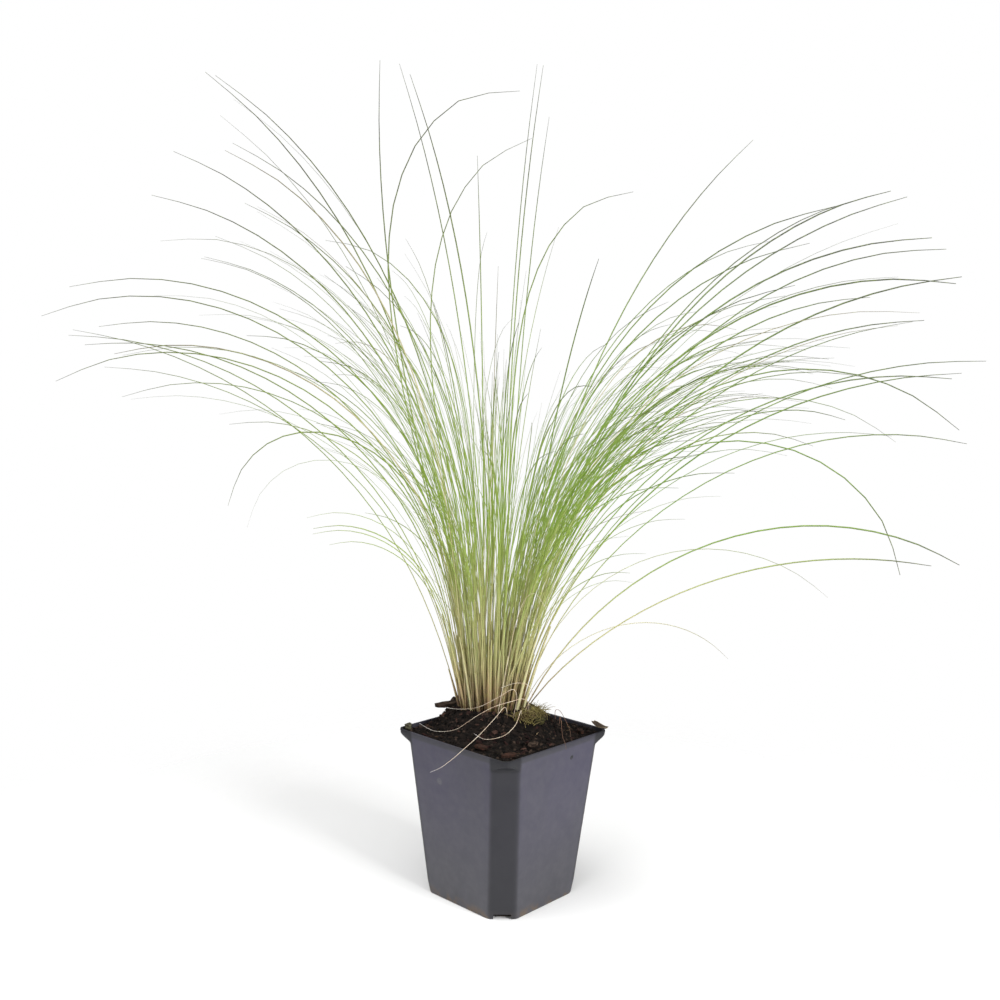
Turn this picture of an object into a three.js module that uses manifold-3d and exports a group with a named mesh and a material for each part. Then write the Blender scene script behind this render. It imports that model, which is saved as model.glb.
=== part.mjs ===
// Mexican feather grass in a square nursery pot.
// Millimetres, +Z up. The origin is the centre of the pot's base, on the plane that the pot stands on.
// The pot's sides run along X and Y. The clump fans out along the pot's diagonal, so all that grows
// or lies in the pot is modelled in a group turned about Z: there +X is the way the fan opens.
import * as THREE from 'three';
import { mergeVertices } from 'three/addons/utils/BufferGeometryUtils.js';
import Module from 'manifold-3d';

const wasm = await Module();
wasm.setup();

// ---- driving dimensions ----
const potHeight = 100;
const rimHalf = 45.35;
const baseHalf = 35.95;
const rimBow = 0.4;
const cornerFlat = 14.5;
const rimCornerFlat = 3.5;
const lipHeight = 2.6;
const flareHeight = 4;
const wall = 1.2;
const floorThickness = 1.5;
const footTurnIn = 0.8;
const footHeight = 8;
const notchHeight = 3.3;
const notchWidth = 11.2;
const notchDepth = 26;
const drainHoleRadius = 4;
const drainHoleReach = 21;
const gap = 0.3;

const fanTurn = THREE.MathUtils.degToRad(44);

const soilSteps = 6;
const soilEdge = 98.4;
const crownLevel = 111.6;
const moundInner = 19;
const moundOuter = 45;

const crownCentreX = -4;
const crownHalfX = 21.5;
const crownHalfY = 16;
const crownFloor = 99.6;
const crownTop = 113.6;
const heartMiddle = 146;
const heartTop = 168;
const stripGap = 0.8;

const rootDepthZ = 109.5;
const rootReach = 0.88;
const markedSegments = 8;
const archedSegments = 5;
const uprightSegments = 4;
const uprightBend = 30;
const leafCount = 225;
const leafTries = 40;
const nudge = 16;
const leafRootWidth = 0.95;
const leafTipWidth = 0.78;
const leafThicknessShare = 0.82;
const leafClearance = 0.9;
const bunchClearance = 1.5;
const tuftLevel = 185;
const reachLeft = 250;
const reachRight = 272;
const reachDeep = 165;
const reachUp = 470;

const weld = 1e-4;

// ---- colours and finishes ----
const finishes = {
  pot: { color: 0x65656f, roughness: 0.5, metalness: 0 },
  soil: { color: 0x1d1713, roughness: 1, metalness: 0 },
  bark: { color: 0x3f3128, roughness: 0.9, metalness: 0 },
  moss: { color: 0x5d6b33, roughness: 0.95, metalness: 0 },
  leafGreen: { color: 0x86a850, roughness: 0.6, metalness: 0 },
  leafDry: { color: 0xc9b98a, roughness: 0.7, metalness: 0 },
};

// ---- seeded draws ----
function makeDraw(seed) {
  let state = seed;
  const next = () => {
    state = (Math.imul(state, 1664525) + 1013904223) >>> 0;
    return state / 4294967296;
  };
  return { next, between: (low, high) => low + (high - low) * next() };
}

// ---- solids ----
function solidOf(geometry) {
  const bare = geometry.clone();
  bare.deleteAttribute('normal');
  bare.deleteAttribute('uv');
  const merged = mergeVertices(bare, weld);
  return new wasm.Manifold(new wasm.Mesh({
    numProp: 3,
    vertProperties: new Float32Array(merged.attributes.position.array),
    triVerts: new Uint32Array(merged.index.array),
  }));
}

function geometryOf(solid) {
  const { vertProperties, triVerts } = solid.getMesh();
  const geometry = new THREE.BufferGeometry();
  geometry.setAttribute('position', new THREE.BufferAttribute(vertProperties, 3));
  geometry.setIndex(new THREE.BufferAttribute(triVerts, 1));
  return geometry;
}

// The main body alone, without the loose scraps and the sealed hollows that joining can leave.
function mainBody(solid) {
  return solid.decompose().reduce((main, piece) => (piece.volume() > main.volume() ? piece : main));
}

// Closed skin over rings of equally many points, each ring counterclockwise seen from the last one.
function skin(rings) {
  const around = rings[0].length;
  const positions = rings.flat().flatMap((point) => [point.x, point.y, point.z]);
  const indices = [];
  for (let ring = 0; ring + 1 < rings.length; ring += 1) {
    for (let i = 0; i < around; i += 1) {
      const a = ring * around + i;
      const b = ring * around + (i + 1) % around;
      indices.push(a, b, b + around, a, b + around, a + around);
    }
  }
  const last = (rings.length - 1) * around;
  for (let i = 1; i + 1 < around; i += 1) {
    indices.push(0, i + 1, i);
    indices.push(last, last + i, last + i + 1);
  }
  const geometry = new THREE.BufferGeometry();
  geometry.setAttribute('position', new THREE.Float32BufferAttribute(positions, 3));
  geometry.setIndex(indices);
  return geometry;
}

function meshOf(name, geometry, finish) {
  const mesh = new THREE.Mesh(geometry, new THREE.MeshStandardMaterial(finish));
  mesh.name = name;
  return mesh;
}

// ---- pot ----
// Square outline with flat corners, its sides bowed out by bow at the middle.
function potRing(z, half, flat, bow, stepsPerSide = 4) {
  const points = [];
  const reach = half - flat / Math.SQRT2;
  for (let side = 0; side < 4; side += 1) {
    const turn = (side * Math.PI) / 2;
    for (let i = 0; i <= stepsPerSide; i += 1) {
      const t = -1 + (2 * i) / stepsPerSide;
      const out = half + bow * (1 - t * t);
      const point = new THREE.Vector3(out, reach * t, 0);
      point.applyAxisAngle(new THREE.Vector3(0, 0, 1), turn);
      points.push(point.setZ(z));
    }
  }
  return points;
}

const halfAt = (z) => baseHalf + ((rimHalf - baseHalf) * z) / potHeight;
const bowAt = (z) => rimBow * (z / potHeight) ** 2;
const lipBottom = potHeight - lipHeight;
const flareBottom = lipBottom - flareHeight;

function potOutside() {
  const ring = (z, flat) => potRing(z, halfAt(z), flat, bowAt(z));
  return skin([
    ring(0, cornerFlat + 2 * footTurnIn),
    ring(footHeight, cornerFlat),
    ring(flareBottom, cornerFlat),
    ring(lipBottom, rimCornerFlat),
    ring(potHeight, rimCornerFlat),
  ]);
}

// The room inside the walls.
function potInside(bottom, top) {
  const ring = (z, flat) => potRing(z, halfAt(z) - wall, flat, bowAt(z));
  const insideFlat = cornerFlat - wall;
  return skin([
    ring(bottom, insideFlat + 2 * footTurnIn * (1 - bottom / footHeight)),
    ring(footHeight, insideFlat),
    ring(flareBottom + wall, insideFlat),
    ring(lipBottom + wall, rimCornerFlat - wall / 2),
    ring(top, rimCornerFlat - wall / 2),
  ]);
}

function makePot() {
  const aboveRim = 5;
  let pot = solidOf(potOutside()).subtract(solidOf(potInside(floorThickness, potHeight + aboveRim)));
  const notch = new THREE.BoxGeometry(notchWidth, notchDepth, notchHeight * 2);
  const hole = new THREE.CylinderGeometry(drainHoleRadius, drainHoleRadius, floorThickness * 6, 12);
  hole.rotateX(Math.PI / 2);
  const cornerReach = baseHalf * Math.SQRT2;
  for (let side = 0; side < 4; side += 1) {
    const turn = Math.PI / 4 + (side * Math.PI) / 2;
    const cut = notch.clone().translate(0, cornerReach, 0).rotateZ(turn);
    pot = pot.subtract(solidOf(cut));
    const drain = hole.clone().translate(0, drainHoleReach, 0).rotateZ(turn + Math.PI / 4);
    pot = pot.subtract(solidOf(drain));
  }
  return pot;
}

// ---- soil ----
const heaps = [
  { x: -32, y: 8, rise: 6.4, spread: 9 },
  { x: 20.5, y: -15, rise: 1.4, spread: 7 },
  { x: -6, y: -40, rise: 1.0, spread: 9 },
];

function soilTop(x, y) {
  const outward = THREE.MathUtils.smoothstep(Math.hypot(x - crownCentreX / 2, y), moundInner, moundOuter);
  let z = crownLevel + (soilEdge - crownLevel) * outward;
  z += 0.35 * Math.sin(x * 0.55 + 1) * Math.cos(y * 0.6);
  for (const heap of heaps) {
    const away = Math.hypot(x - heap.x, y - heap.y) / heap.spread;
    z += heap.rise * Math.exp(-away * away);
  }
  return z;
}

function intoFan(points) {
  const up = new THREE.Vector3(0, 0, 1);
  return points.map((point) => point.clone().applyAxisAngle(up, -fanTurn));
}

function makeSoil(pockets) {
  const bottom = floorThickness + gap;
  const ring = (z, flat) => intoFan(potRing(z, halfAt(z) - wall - gap, flat, bowAt(z), soilSteps));
  const insideFlat = cornerFlat - wall;
  const rings = [
    ring(bottom, insideFlat + 2 * footTurnIn * (1 - bottom / footHeight)),
    ring(footHeight, insideFlat),
    ring(flareBottom + wall + gap, insideFlat),
  ];
  const edgeLevel = soilEdge - 0.4;
  const flared = (edgeLevel - flareBottom - wall - gap) / (flareHeight + gap);
  const edge = ring(edgeLevel, THREE.MathUtils.lerp(insideFlat, rimCornerFlat - wall / 2, flared));
  for (const share of [1, 0.9, 0.8, 0.7, 0.6, 0.5, 0.4, 0.2]) {
    rings.push(edge.map((point) => {
      const x = point.x * share;
      const y = point.y * share;
      return new THREE.Vector3(x, y, share === 1 ? edgeLevel : soilTop(x, y));
    }));
  }
  return pockets.reduce((soil, pocket) => soil.subtract(solidOf(pocket)), solidOf(skin(rings)));
}

// Oval hole that the crown stands in.
function crownPocket() {
  const height = 40;
  const hole = new THREE.CylinderGeometry(1, 1, height, 32);
  hole.rotateX(Math.PI / 2);
  hole.scale(crownHalfX + gap * 1.4, crownHalfY + gap * 1.4, 1);
  return hole.translate(crownCentreX, 0, crownFloor - gap + height / 2);
}

function stemPocket(x, y) {
  const height = 30;
  const radius = 1.3;
  const hole = new THREE.CylinderGeometry(radius, radius, height, 8);
  hole.rotateX(Math.PI / 2);
  return hole.translate(x, y, strandFoot - gap + height / 2);
}

// ---- leaves ----
// A leaf leaves its root at lean degrees from upright, towards heading, and leans over by bend
// degrees more on its way to the tip; power says how late it does so, and sway turns its heading.
function leafPath(leaf) {
  const fine = 60;
  const toRadians = THREE.MathUtils.degToRad;
  const stops = [];
  for (let k = 0; k <= leaf.segments; k += 1) {
    const share = k / leaf.segments;
    stops.push(Math.round(fine * (0.5 * share + 0.5 * Math.sqrt(share))));
  }
  const point = new THREE.Vector3(leaf.x, leaf.y, rootDepthZ);
  const nodes = [];
  for (let step = 0; step <= fine; step += 1) {
    const s = (step + 0.5) / fine;
    const tilt = toRadians(leaf.lean + leaf.bend * s ** leaf.power);
    const heading = toRadians(leaf.heading + leaf.sway * s * s);
    const flat = new THREE.Vector3(Math.cos(heading), Math.sin(heading), 0);
    const ahead = flat.clone().multiplyScalar(Math.sin(tilt));
    ahead.z = Math.cos(tilt);
    if (stops.includes(step)) {
      nodes.push({ s: step / fine, point: point.clone(), ahead, side: new THREE.Vector3(-flat.y, flat.x, 0) });
    }
    point.addScaledVector(ahead, leaf.length / fine);
  }
  return nodes;
}

// Three-sided leaf with its keel outwards.
function leafSolid(nodes) {
  const rings = nodes.map(({ s, point, ahead, side }) => {
    const width = THREE.MathUtils.lerp(leafRootWidth, leafTipWidth, s);
    const thick = width * leafThicknessShare;
    const keel = ahead.clone().cross(side).negate();
    const at = (across, out) => point.clone().addScaledVector(side, across).addScaledVector(keel, out);
    return [at(-width / 2, -thick / 3), at(0, (2 * thick) / 3), at(width / 2, -thick / 3)];
  });
  return solidOf(skin(rings));
}

// Shortest distance between two straight stretches.
function stretchGap(a0, a1, b0, b1) {
  const alongA = a1.clone().sub(a0);
  const alongB = b1.clone().sub(b0);
  const between = a0.clone().sub(b0);
  const aa = alongA.dot(alongA);
  const bb = alongB.dot(alongB);
  const ab = alongA.dot(alongB);
  const fa = alongA.dot(between);
  const fb = alongB.dot(between);
  const clamp = (value) => Math.min(Math.max(value, 0), 1);
  const spread = aa * bb - ab * ab;
  let s = spread > 1e-9 ? clamp((ab * fb - bb * fa) / spread) : 0;
  const t = clamp((ab * s + fb) / bb);
  s = clamp((ab * t - fa) / aa);
  return between.addScaledVector(alongA, s).addScaledVector(alongB, -t).length();
}

// Down beside the hearts a leaf stays on its own bunch's side of the parting.
function isOnOwnSide(nodes, strip) {
  const [root, next] = nodes.map((node) => node.point);
  const share = Math.min((heartTop - root.z) / (next.z - root.z), 1);
  const beside = root.x + (next.x - root.x) * share;
  const partingX = crownCentreX + stripEdges[1] * crownHalfX;
  return (strip === 0 ? partingX - beside : beside - partingX) > leafRootWidth;
}

// The part of a leaf's stretches above a level.
function stretchesAbove(points, level) {
  const stretches = [];
  for (let i = 0; i + 1 < points.length; i += 1) {
    const [a, b] = [points[i], points[i + 1]];
    if (Math.max(a.z, b.z) <= level) continue;
    const cut = (from, to) => (from.z < level ? from.clone().lerp(to, (level - from.z) / (to.z - from.z)) : from);
    stretches.push([cut(a, b), cut(b, a)]);
  }
  return stretches;
}

// Leaves of one bunch may touch down in the tuft; leaves of two bunches, and dry leaves, never do.
function isClear(points, strip, taken) {
  const whole = stretchesAbove(points, 0);
  const outside = stretchesAbove(points, tuftLevel);
  return taken.every((other) => {
    const sameStrip = other.strip === strip;
    const room = other.room ?? (sameStrip ? leafClearance : bunchClearance);
    const others = sameStrip ? other.outside : other.whole;
    return (sameStrip ? outside : whole).every(([a0, a1]) => (
      others.every(([b0, b1]) => stretchGap(a0, a1, b0, b1) >= room)));
  });
}

function takenBy(strip, points, room) {
  return { strip, whole: stretchesAbove(points, 0), outside: stretchesAbove(points, tuftLevel), room };
}

// Leaves that stand out of the clump. Place in the crown from -1 to 1, then heading, lean, bend,
// power, length and sway; a heading of 0 is along the fan to the right, 180 to the left.
const markedLeaves = [
  // arching to the right
  [0.80, -0.20, -6, 9.1, 82, 1.6, 402, 4],
  [0.85, 0.10, 8, 4.1, 84, 1.05, 376, -6],
  [0.75, 0.30, 12, 7.1, 70, 1.35, 438, 8],
  [0.60, -0.35, -14, 2.1, 80, 1.8, 374, -6],
  [0.40, 0.40, 16, 7.1, 42, 1.5, 398, 6],
  [0.98, -0.10, -10, 25.1, 95, 1.2, 302, 8],
  [1.00, 0.05, 6, 33.1, 66, 0.8, 280, -6],
  [0.90, -0.35, -12, 0.1, 170, 1.5, 356, -10],
  [0.85, 0.40, 20, 7.1, 98, 1.1, 350, 10],
  [0.95, -0.25, -14, 9.1, 122, 1.2, 236, -8],
  [0.97, 0.22, 16, 17.1, 118, 0.9, 168, 0],
  [0.72, -0.15, -5, 1, 98, 1.3, 408, 2],
  [0.66, 0.15, 5, 2, 86, 1.25, 420, -4],
  [0.55, 0.05, 3, 3, 72, 1.15, 420, 4],
  [0.90, -0.25, -8, 9, 82, 1, 372, 5],
  [0.88, 0.20, 9, 8, 88, 1, 372, -6],
  [0.92, -0.05, 2, 12, 90, 0.95, 352, 6],
  [0.78, 0.35, 13, 3, 130, 1.4, 402, -8],
  [0.50, 0.30, 12, 2, 78, 1.7, 372, 4],
  [0.82, 0.05, -6, 6, 78, 1.1, 392, 4],
  // arching to the left
  [-0.85, -0.10, 184, 3.9, 110, 1.5, 408, -6],
  [-0.80, 0.25, 170, 4.9, 76, 1.7, 398, 8],
  [-0.60, -0.25, 190, 8.9, 46, 2.2, 412, -6],
  [-0.55, 0.20, 174, 5.9, 52, 2.0, 424, 6],
  [-0.75, -0.35, 192, 6.9, 62, 2.6, 374, -8],
  [-0.98, 0.05, 178, 14.9, 68, 1.2, 345, 8],
  [-0.80, 0.45, 164, 3.9, 165, 1.9, 312, -12],
  [-0.88, 0.30, 168, 5.9, 96, 1.4, 380, 10],
  [-0.92, -0.30, 194, 10.9, 80, 1.3, 350, -10],
  [-0.70, 0.10, 176, 2, 64, 1.9, 392, -4],
  [-0.82, -0.30, 188, 2, 104, 1.5, 398, 6],
  [-0.66, 0.35, 170, 4, 66, 1.5, 418, -5],
  [-0.90, 0.12, 177, 3, 104, 1.45, 350, 6],
  [-0.95, -0.10, 186, 6, 92, 1.3, 350, -6],
  // tall, near the middle
  [-0.35, 0.25, 172, 15.9, -18, 2.0, 392, 0],
  [-0.12, -0.30, 186, 3.9, 15, 2.0, 384, 0],
  [-0.08, 0.40, 176, 1.9, 19, 2.0, 384, 0],
  [-0.45, 0.05, 180, 14.9, -118, 5.0, 418, 0],
  [-0.40, -0.30, 184, 0.9, 2, 2.0, 330, 0],
  [0.06, 0.10, 6, 0.1, 7, 2.0, 384, 0],
  [0.12, -0.45, -8, 0.1, 8, 2.0, 386, 0],
  [0.22, 0.30, 10, 1.1, 7, 2.0, 356, 0],
  [-0.60, 0.50, 4, -3.9, 28, 1.5, 348, 0],
  [0.26, -0.15, -6, 0.1, 95, 6.0, 342, 0],
  [-0.50, -0.45, 186, 9.9, -90, 5.0, 366, 0],
  [-0.54, 0.66, 176, 1.9, 90, 4.0, 326, 0],
  // towards the front and the back
  [0.10, -0.92, 282, 14, 62, 1.5, 300, 8],
  [-0.20, -0.88, 254, 12, 70, 1.7, 330, -8],
  [0.45, -0.80, 306, 12, 74, 1.6, 340, 8],
  [0.05, 0.92, 84, 15, 60, 1.5, 310, -8],
  [-0.25, 0.90, 108, 12, 72, 1.7, 335, 8],
  [0.42, 0.82, 58, 13, 70, 1.6, 345, -8],
];

// How the other leaves grow to the right and to the left of the parting. Lean, bend and longest are
// each a start and what is added towards the end of the crown, power is a lowest and a highest.
const parting = -0.04;
const stripEdges = [-1, parting * rootReach, 1];
const bunchNames = ['grass_left', 'grass_right'];
const unevenLeanX = 4.6;
const unevenLeanY = 2.8;
const unevenHeading = 16;
const leanDeep = 9.5;
const mostlyLong = 0.48;
const habits = {
  right: { side: 1, lean: [3.8, 1.3], bend: [69, 21], uneven: 0.16, power: [1.63, 2.16],
    longest: [162, 194], shortest: 0.72, low: 0.05 },
  left: { side: -1, lean: [2, 4.3], bend: [28, 69], uneven: 0.1, power: [1.92, 2.39],
    longest: [192, 201], shortest: 0.24, low: 0.02 },
};

// From the middle of the crown outwards in the order that shoots grow: the further out a leaf stands
// along the fan, the more it leans, arches and reaches.
function drawLeaf(u, v, draw) {
  const away = Math.abs(u);
  const habit = u > parting ? habits.right : habits.left;
  const further = ([start, added], share) => start + added * share;
  const leanX = habit.side * further(habit.lean, away) + draw.between(-unevenLeanX, unevenLeanX);
  const leanY = leanDeep * v + draw.between(-unevenLeanY, unevenLeanY);
  const leaf = {
    lean: Math.hypot(leanX, leanY),
    heading: THREE.MathUtils.radToDeg(Math.atan2(leanY, leanX)),
    sway: draw.between(-unevenHeading, unevenHeading),
  };
  leaf.bend = further(habit.bend, away) * draw.between(1 - habit.uneven, 1 + habit.uneven);
  leaf.bend *= Math.min(1, draw.between(0.15, 1) + 1.4 * away);
  leaf.power = draw.between(...habit.power);
  leaf.length = further(habit.longest, away ** 0.6);
  leaf.length *= habit.shortest + (1 - habit.shortest) * draw.next() ** mostlyLong;
  const outermost = Math.hypot(u, v) > 0.75;
  if (outermost && draw.next() < habit.low) {
    leaf.lean += draw.between(5, 15);
    leaf.length *= draw.between(0.7, 0.95);
  }
  leaf.segments = leaf.bend < uprightBend ? uprightSegments : archedSegments;
  return leaf;
}

function stripOf(u) {
  return Math.min(stripEdges.length - 2, stripEdges.filter((edge) => edge <= u).length - 1);
}

// A drawn leaf is no longer than keeps its tip within the reach of the clump.
function trimmedPath(leaf) {
  for (;;) {
    const nodes = leafPath(leaf);
    const tip = nodes[nodes.length - 1].point;
    const within = tip.x > -reachLeft && tip.x < reachRight && Math.abs(tip.y) < reachDeep;
    if (within && tip.z < reachUp) return nodes;
    leaf.length *= 0.95;
  }
}

// A root keeps off the gaps between the strips of the crown.
function placeRoot(leaf, u, v) {
  const across = u * rootReach;
  const strip = stripOf(across);
  const keepOff = (stripGap / 2 + leafRootWidth) / crownHalfX;
  const kept = THREE.MathUtils.clamp(across, stripEdges[strip] + keepOff, stripEdges[strip + 1] - keepOff);
  return { ...leaf, strip, x: crownCentreX + kept * crownHalfX, y: v * rootReach * crownHalfY };
}

function growLeaves(taken) {
  const grown = [];
  const addLeaf = (leaf, nodes) => {
    const points = nodes.map((node) => node.point);
    if (!isOnOwnSide(nodes, leaf.strip) || !isClear(points, leaf.strip, taken)) return false;
    taken.push(takenBy(leaf.strip, points));
    grown.push({ strip: leaf.strip, solid: leafSolid(nodes) });
    return true;
  };
  const turned = makeDraw(5);
  for (const [u, v, heading, lean, bend, power, length, sway] of markedLeaves) {
    const marked = { heading, lean, bend, power, length, sway, segments: markedSegments };
    const leaf = placeRoot(marked, u, v);
    for (let tries = 0; tries < leafTries && !addLeaf(leaf, leafPath(leaf)); tries += 1) {
      leaf.heading = heading + turned.between(-nudge, nudge);
    }
  }
  const draw = makeDraw(11);
  const goldenAngle = Math.PI * (3 - Math.sqrt(5));
  for (let i = 0; i < leafCount; i += 1) {
    const out = Math.sqrt((i + 0.5) / leafCount);
    const u = out * Math.cos(i * goldenAngle);
    const v = out * Math.sin(i * goldenAngle);
    const leaf = placeRoot(drawLeaf(u, v, draw), u, v);
    const { heading } = leaf;
    for (let tries = 0; tries < leafTries && !addLeaf(leaf, trimmedPath(leaf)); tries += 1) {
      leaf.heading = heading + draw.between(-nudge, nudge);
    }
  }
  return grown;
}

// Strip of the crown: its foot in the soil, and the heart that the inner leaves come out of.
function crownStrip(strip) {
  const left = stripEdges[strip] * crownHalfX + (strip === 0 ? 0 : stripGap / 2);
  const right = stripEdges[strip + 1] * crownHalfX - (strip + 2 === stripEdges.length ? 0 : stripGap / 2);
  const middle = (left + right) / 2;
  const stepsAlong = 4;
  const ring = (z, share) => {
    const front = [];
    const back = [];
    for (let i = 0; i <= stepsAlong; i += 1) {
      const x = left + ((right - left) * i) / stepsAlong;
      const inside = THREE.MathUtils.clamp(x, -crownHalfX * 0.985, crownHalfX * 0.985) / crownHalfX;
      const y = crownHalfY * Math.sqrt(1 - inside * inside);
      const along = crownCentreX + middle + (x - middle) * share;
      front.push(new THREE.Vector3(along, -y * share, z));
      back.unshift(new THREE.Vector3(along, y * share, z));
    }
    return [...front, ...back];
  };
  return solidOf(skin([
    ring(crownFloor, 1),
    ring(crownTop, 1),
    ring(heartMiddle, 0.93),
    ring(heartTop, 0.5),
  ]));
}

// ---- dry leaves that hang and lie over the soil ----
const strandFoot = 105;
const strandWidth = 1;
const strandRoom = 2.6;
const strands = [
  [[6, -20, strandFoot], [6, -20.2, 114], [7.5, -22.5, 125], [5, -24.6, 131], [-4, -25.5, 126],
    [-15, -22.5, 119.5], [-26, -15, 116], [-35, -7, 114.6]],
  [[14, -18.4, strandFoot], [14, -18.8, 114], [14.6, -21.5, 121.5], [11, -24.5, 125.4], [4.3, -27, 124.4],
    [-5.5, -28.3, 121.6], [-14, -27.5, 116.8], [-20, -25, 112], [-29, -20.5, 105], [-41, -12, 101.6],
    [-51, 3, 101.6]],
  [[2, -19.5, strandFoot], [2, -19.8, 114], [0.5, -22, 119.5], [-5, -27, 114.5], [-14, -36, 107],
    [-21, -43.5, 102.6], [-29, -44.5, 95.5], [-36, -42.5, 89.5], [-42, -39.5, 85.8]],
  [[10.4, -19.4, strandFoot], [10.4, -19.6, 114], [10, -22.5, 117.6], [7, -29, 111.5], [1.5, -34, 107],
    [-5, -36.5, 105.2], [-11.5, -36.5, 104.8], [-17, -32, 106.4]],
  [[34, -5, strandFoot], [34, -5.2, 109.5], [34.6, -8, 108.5], [34.8, -15, 104.5], [34.8, -24, 102.6],
    [35.5, -31, 102.2], [36.2, -36, 99]],
  [[32, 4, strandFoot], [32, 4.2, 110.5], [35, 4, 110], [38.5, -3, 105], [40, -12, 102.4],
    [39.5, -21, 102]],
  [[12.8, -15.6, strandFoot], [12.8, -15.9, 115], [16.5, -20.5, 127], [14, -22.5, 133],
    [7, -23.5, 134.5], [-2, -23.5, 131.5]],
  [[-3.5, -19.6, strandFoot], [-3.5, -19.9, 114], [1.5, -23, 145], [6, -25, 170], [11, -25.5, 184],
    [16.5, -26, 188], [22, -26, 181.5], [27, -26.5, 171]],
];

function strandPath(points) {
  return new THREE.CatmullRomCurve3(points.map((point) => new THREE.Vector3(...point)));
}

function strandSolid(points) {
  const half = strandWidth / 2;
  const section = new THREE.Shape();
  section.moveTo(half, 0);
  section.lineTo(0, half);
  section.lineTo(-half, 0);
  section.lineTo(0, -half);
  const path = strandPath(points);
  const steps = Math.round(path.getLength() / 10) + 5;
  return solidOf(new THREE.ExtrudeGeometry(section, { steps, bevelEnabled: false, extrudePath: path }));
}

// ---- bark, moss and a scrap of leaf ----
// Flat chip with a broken outline: place, turn about Z, tilt about its length, pitch along it.
const barkChips = [
  { x: -34.2, y: 6.5, z: 113, length: 18.5, width: 6, thick: 2.2, turn: 6, tilt: 12, pitch: 8 },
  { x: -31, y: 14, z: 113, length: 8, width: 5, thick: 2.2, turn: 60, tilt: -30, pitch: 35 },
  { x: 3, y: -50, z: 99.9, length: 11, width: 6, thick: 1.8, turn: 20, tilt: 0, pitch: 3 },
  { x: -13, y: -41, z: 101.5, length: 9, width: 5, thick: 1.8, turn: -35, tilt: 6, pitch: 0 },
  { x: 17, y: -37, z: 102.3, length: 10, width: 5, thick: 1.8, turn: 50, tilt: 8, pitch: 0 },
  { x: 47, y: -3, z: 100, length: 9, width: 3.5, thick: 1.6, turn: -60, tilt: 4, pitch: 0 },
  { x: -57.5, y: 0, z: 100.6, length: 7, width: 5, thick: 3, turn: 80, tilt: 0, pitch: 4 },
  { x: 10, y: 44, z: 100.2, length: 12, width: 6, thick: 2, turn: 30, tilt: 5, pitch: 0 },
];

function barkGeometry(chip, grow, draw) {
  const outline = new THREE.Shape();
  const corners = 7;
  for (let i = 0; i < corners; i += 1) {
    const angle = (i * 2 * Math.PI) / corners;
    const uneven = draw ? draw.between(0.78, 1) : 1.05;
    const x = (chip.length / 2 + grow) * uneven * Math.cos(angle);
    const y = (chip.width / 2 + grow) * uneven * Math.sin(angle);
    if (i === 0) outline.moveTo(x, y);
    else outline.lineTo(x, y);
  }
  const depth = chip.thick + 2 * grow;
  const geometry = new THREE.ExtrudeGeometry(outline, { depth, bevelEnabled: false });
  const { degToRad } = THREE.MathUtils;
  geometry.translate(0, 0, -depth / 2);
  geometry.rotateX(degToRad(chip.tilt)).rotateY(degToRad(-chip.pitch)).rotateZ(degToRad(chip.turn));
  return geometry.translate(chip.x, chip.y, chip.z);
}

const moss = {
  x: 20.2,
  y: -15,
  halfX: 5.6,
  halfY: 4.4,
  halfZ: 4.4,
  blades: 14,
  bladeLength: 9,
  rootRise: 1.5,
  facing: THREE.MathUtils.degToRad(-55),
  spread: THREE.MathUtils.degToRad(170),
  room: 6.8,
};

function mossCore(grow) {
  const core = new THREE.IcosahedronGeometry(1, 1);
  core.scale(moss.halfX + grow, moss.halfY + grow, moss.halfZ + grow);
  return core.translate(moss.x, moss.y, soilTop(moss.x, moss.y) - 0.5);
}

function makeMoss() {
  const draw = makeDraw(23);
  let tuft = solidOf(mossCore(0));
  const goldenAngle = Math.PI * (3 - Math.sqrt(5));
  for (let i = 0; i < moss.blades; i += 1) {
    const out = Math.sqrt((i + 0.5) / moss.blades) * 0.62;
    const root = new THREE.Vector3(
      moss.x + out * moss.halfX * Math.cos(i * goldenAngle),
      moss.y + out * moss.halfY * Math.sin(i * goldenAngle),
      soilTop(moss.x, moss.y) + moss.rootRise,
    );
    const heading = moss.facing + (draw.next() - 0.5) * moss.spread;
    const length = moss.bladeLength * draw.between(0.6, 1);
    const rings = [0, 0.5, 1].map((s) => {
      const tilt = (0.35 + 0.9 * s) * out;
      const width = 1.2 - 0.4 * s;
      const x = root.x + Math.cos(heading) * length * s * Math.sin(tilt);
      const y = root.y + Math.sin(heading) * length * s * Math.sin(tilt);
      const z = root.z + length * s * Math.cos(tilt);
      return [0, 1, 2].map((corner) => {
        const angle = heading + (corner * 2 * Math.PI) / 3;
        return new THREE.Vector3(x + width * 0.6 * Math.cos(angle), y + width * 0.6 * Math.sin(angle), z);
      });
    });
    tuft = tuft.add(solidOf(skin(rings)));
  }
  return tuft;
}

// Curled scrap of dead leaf on the corner of the rim.
const scrap = { x: 58.6, y: -3, z: 101.8, length: 15, width: 5, thick: 0.8, turn: -62, curl: 0.55 };

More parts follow.
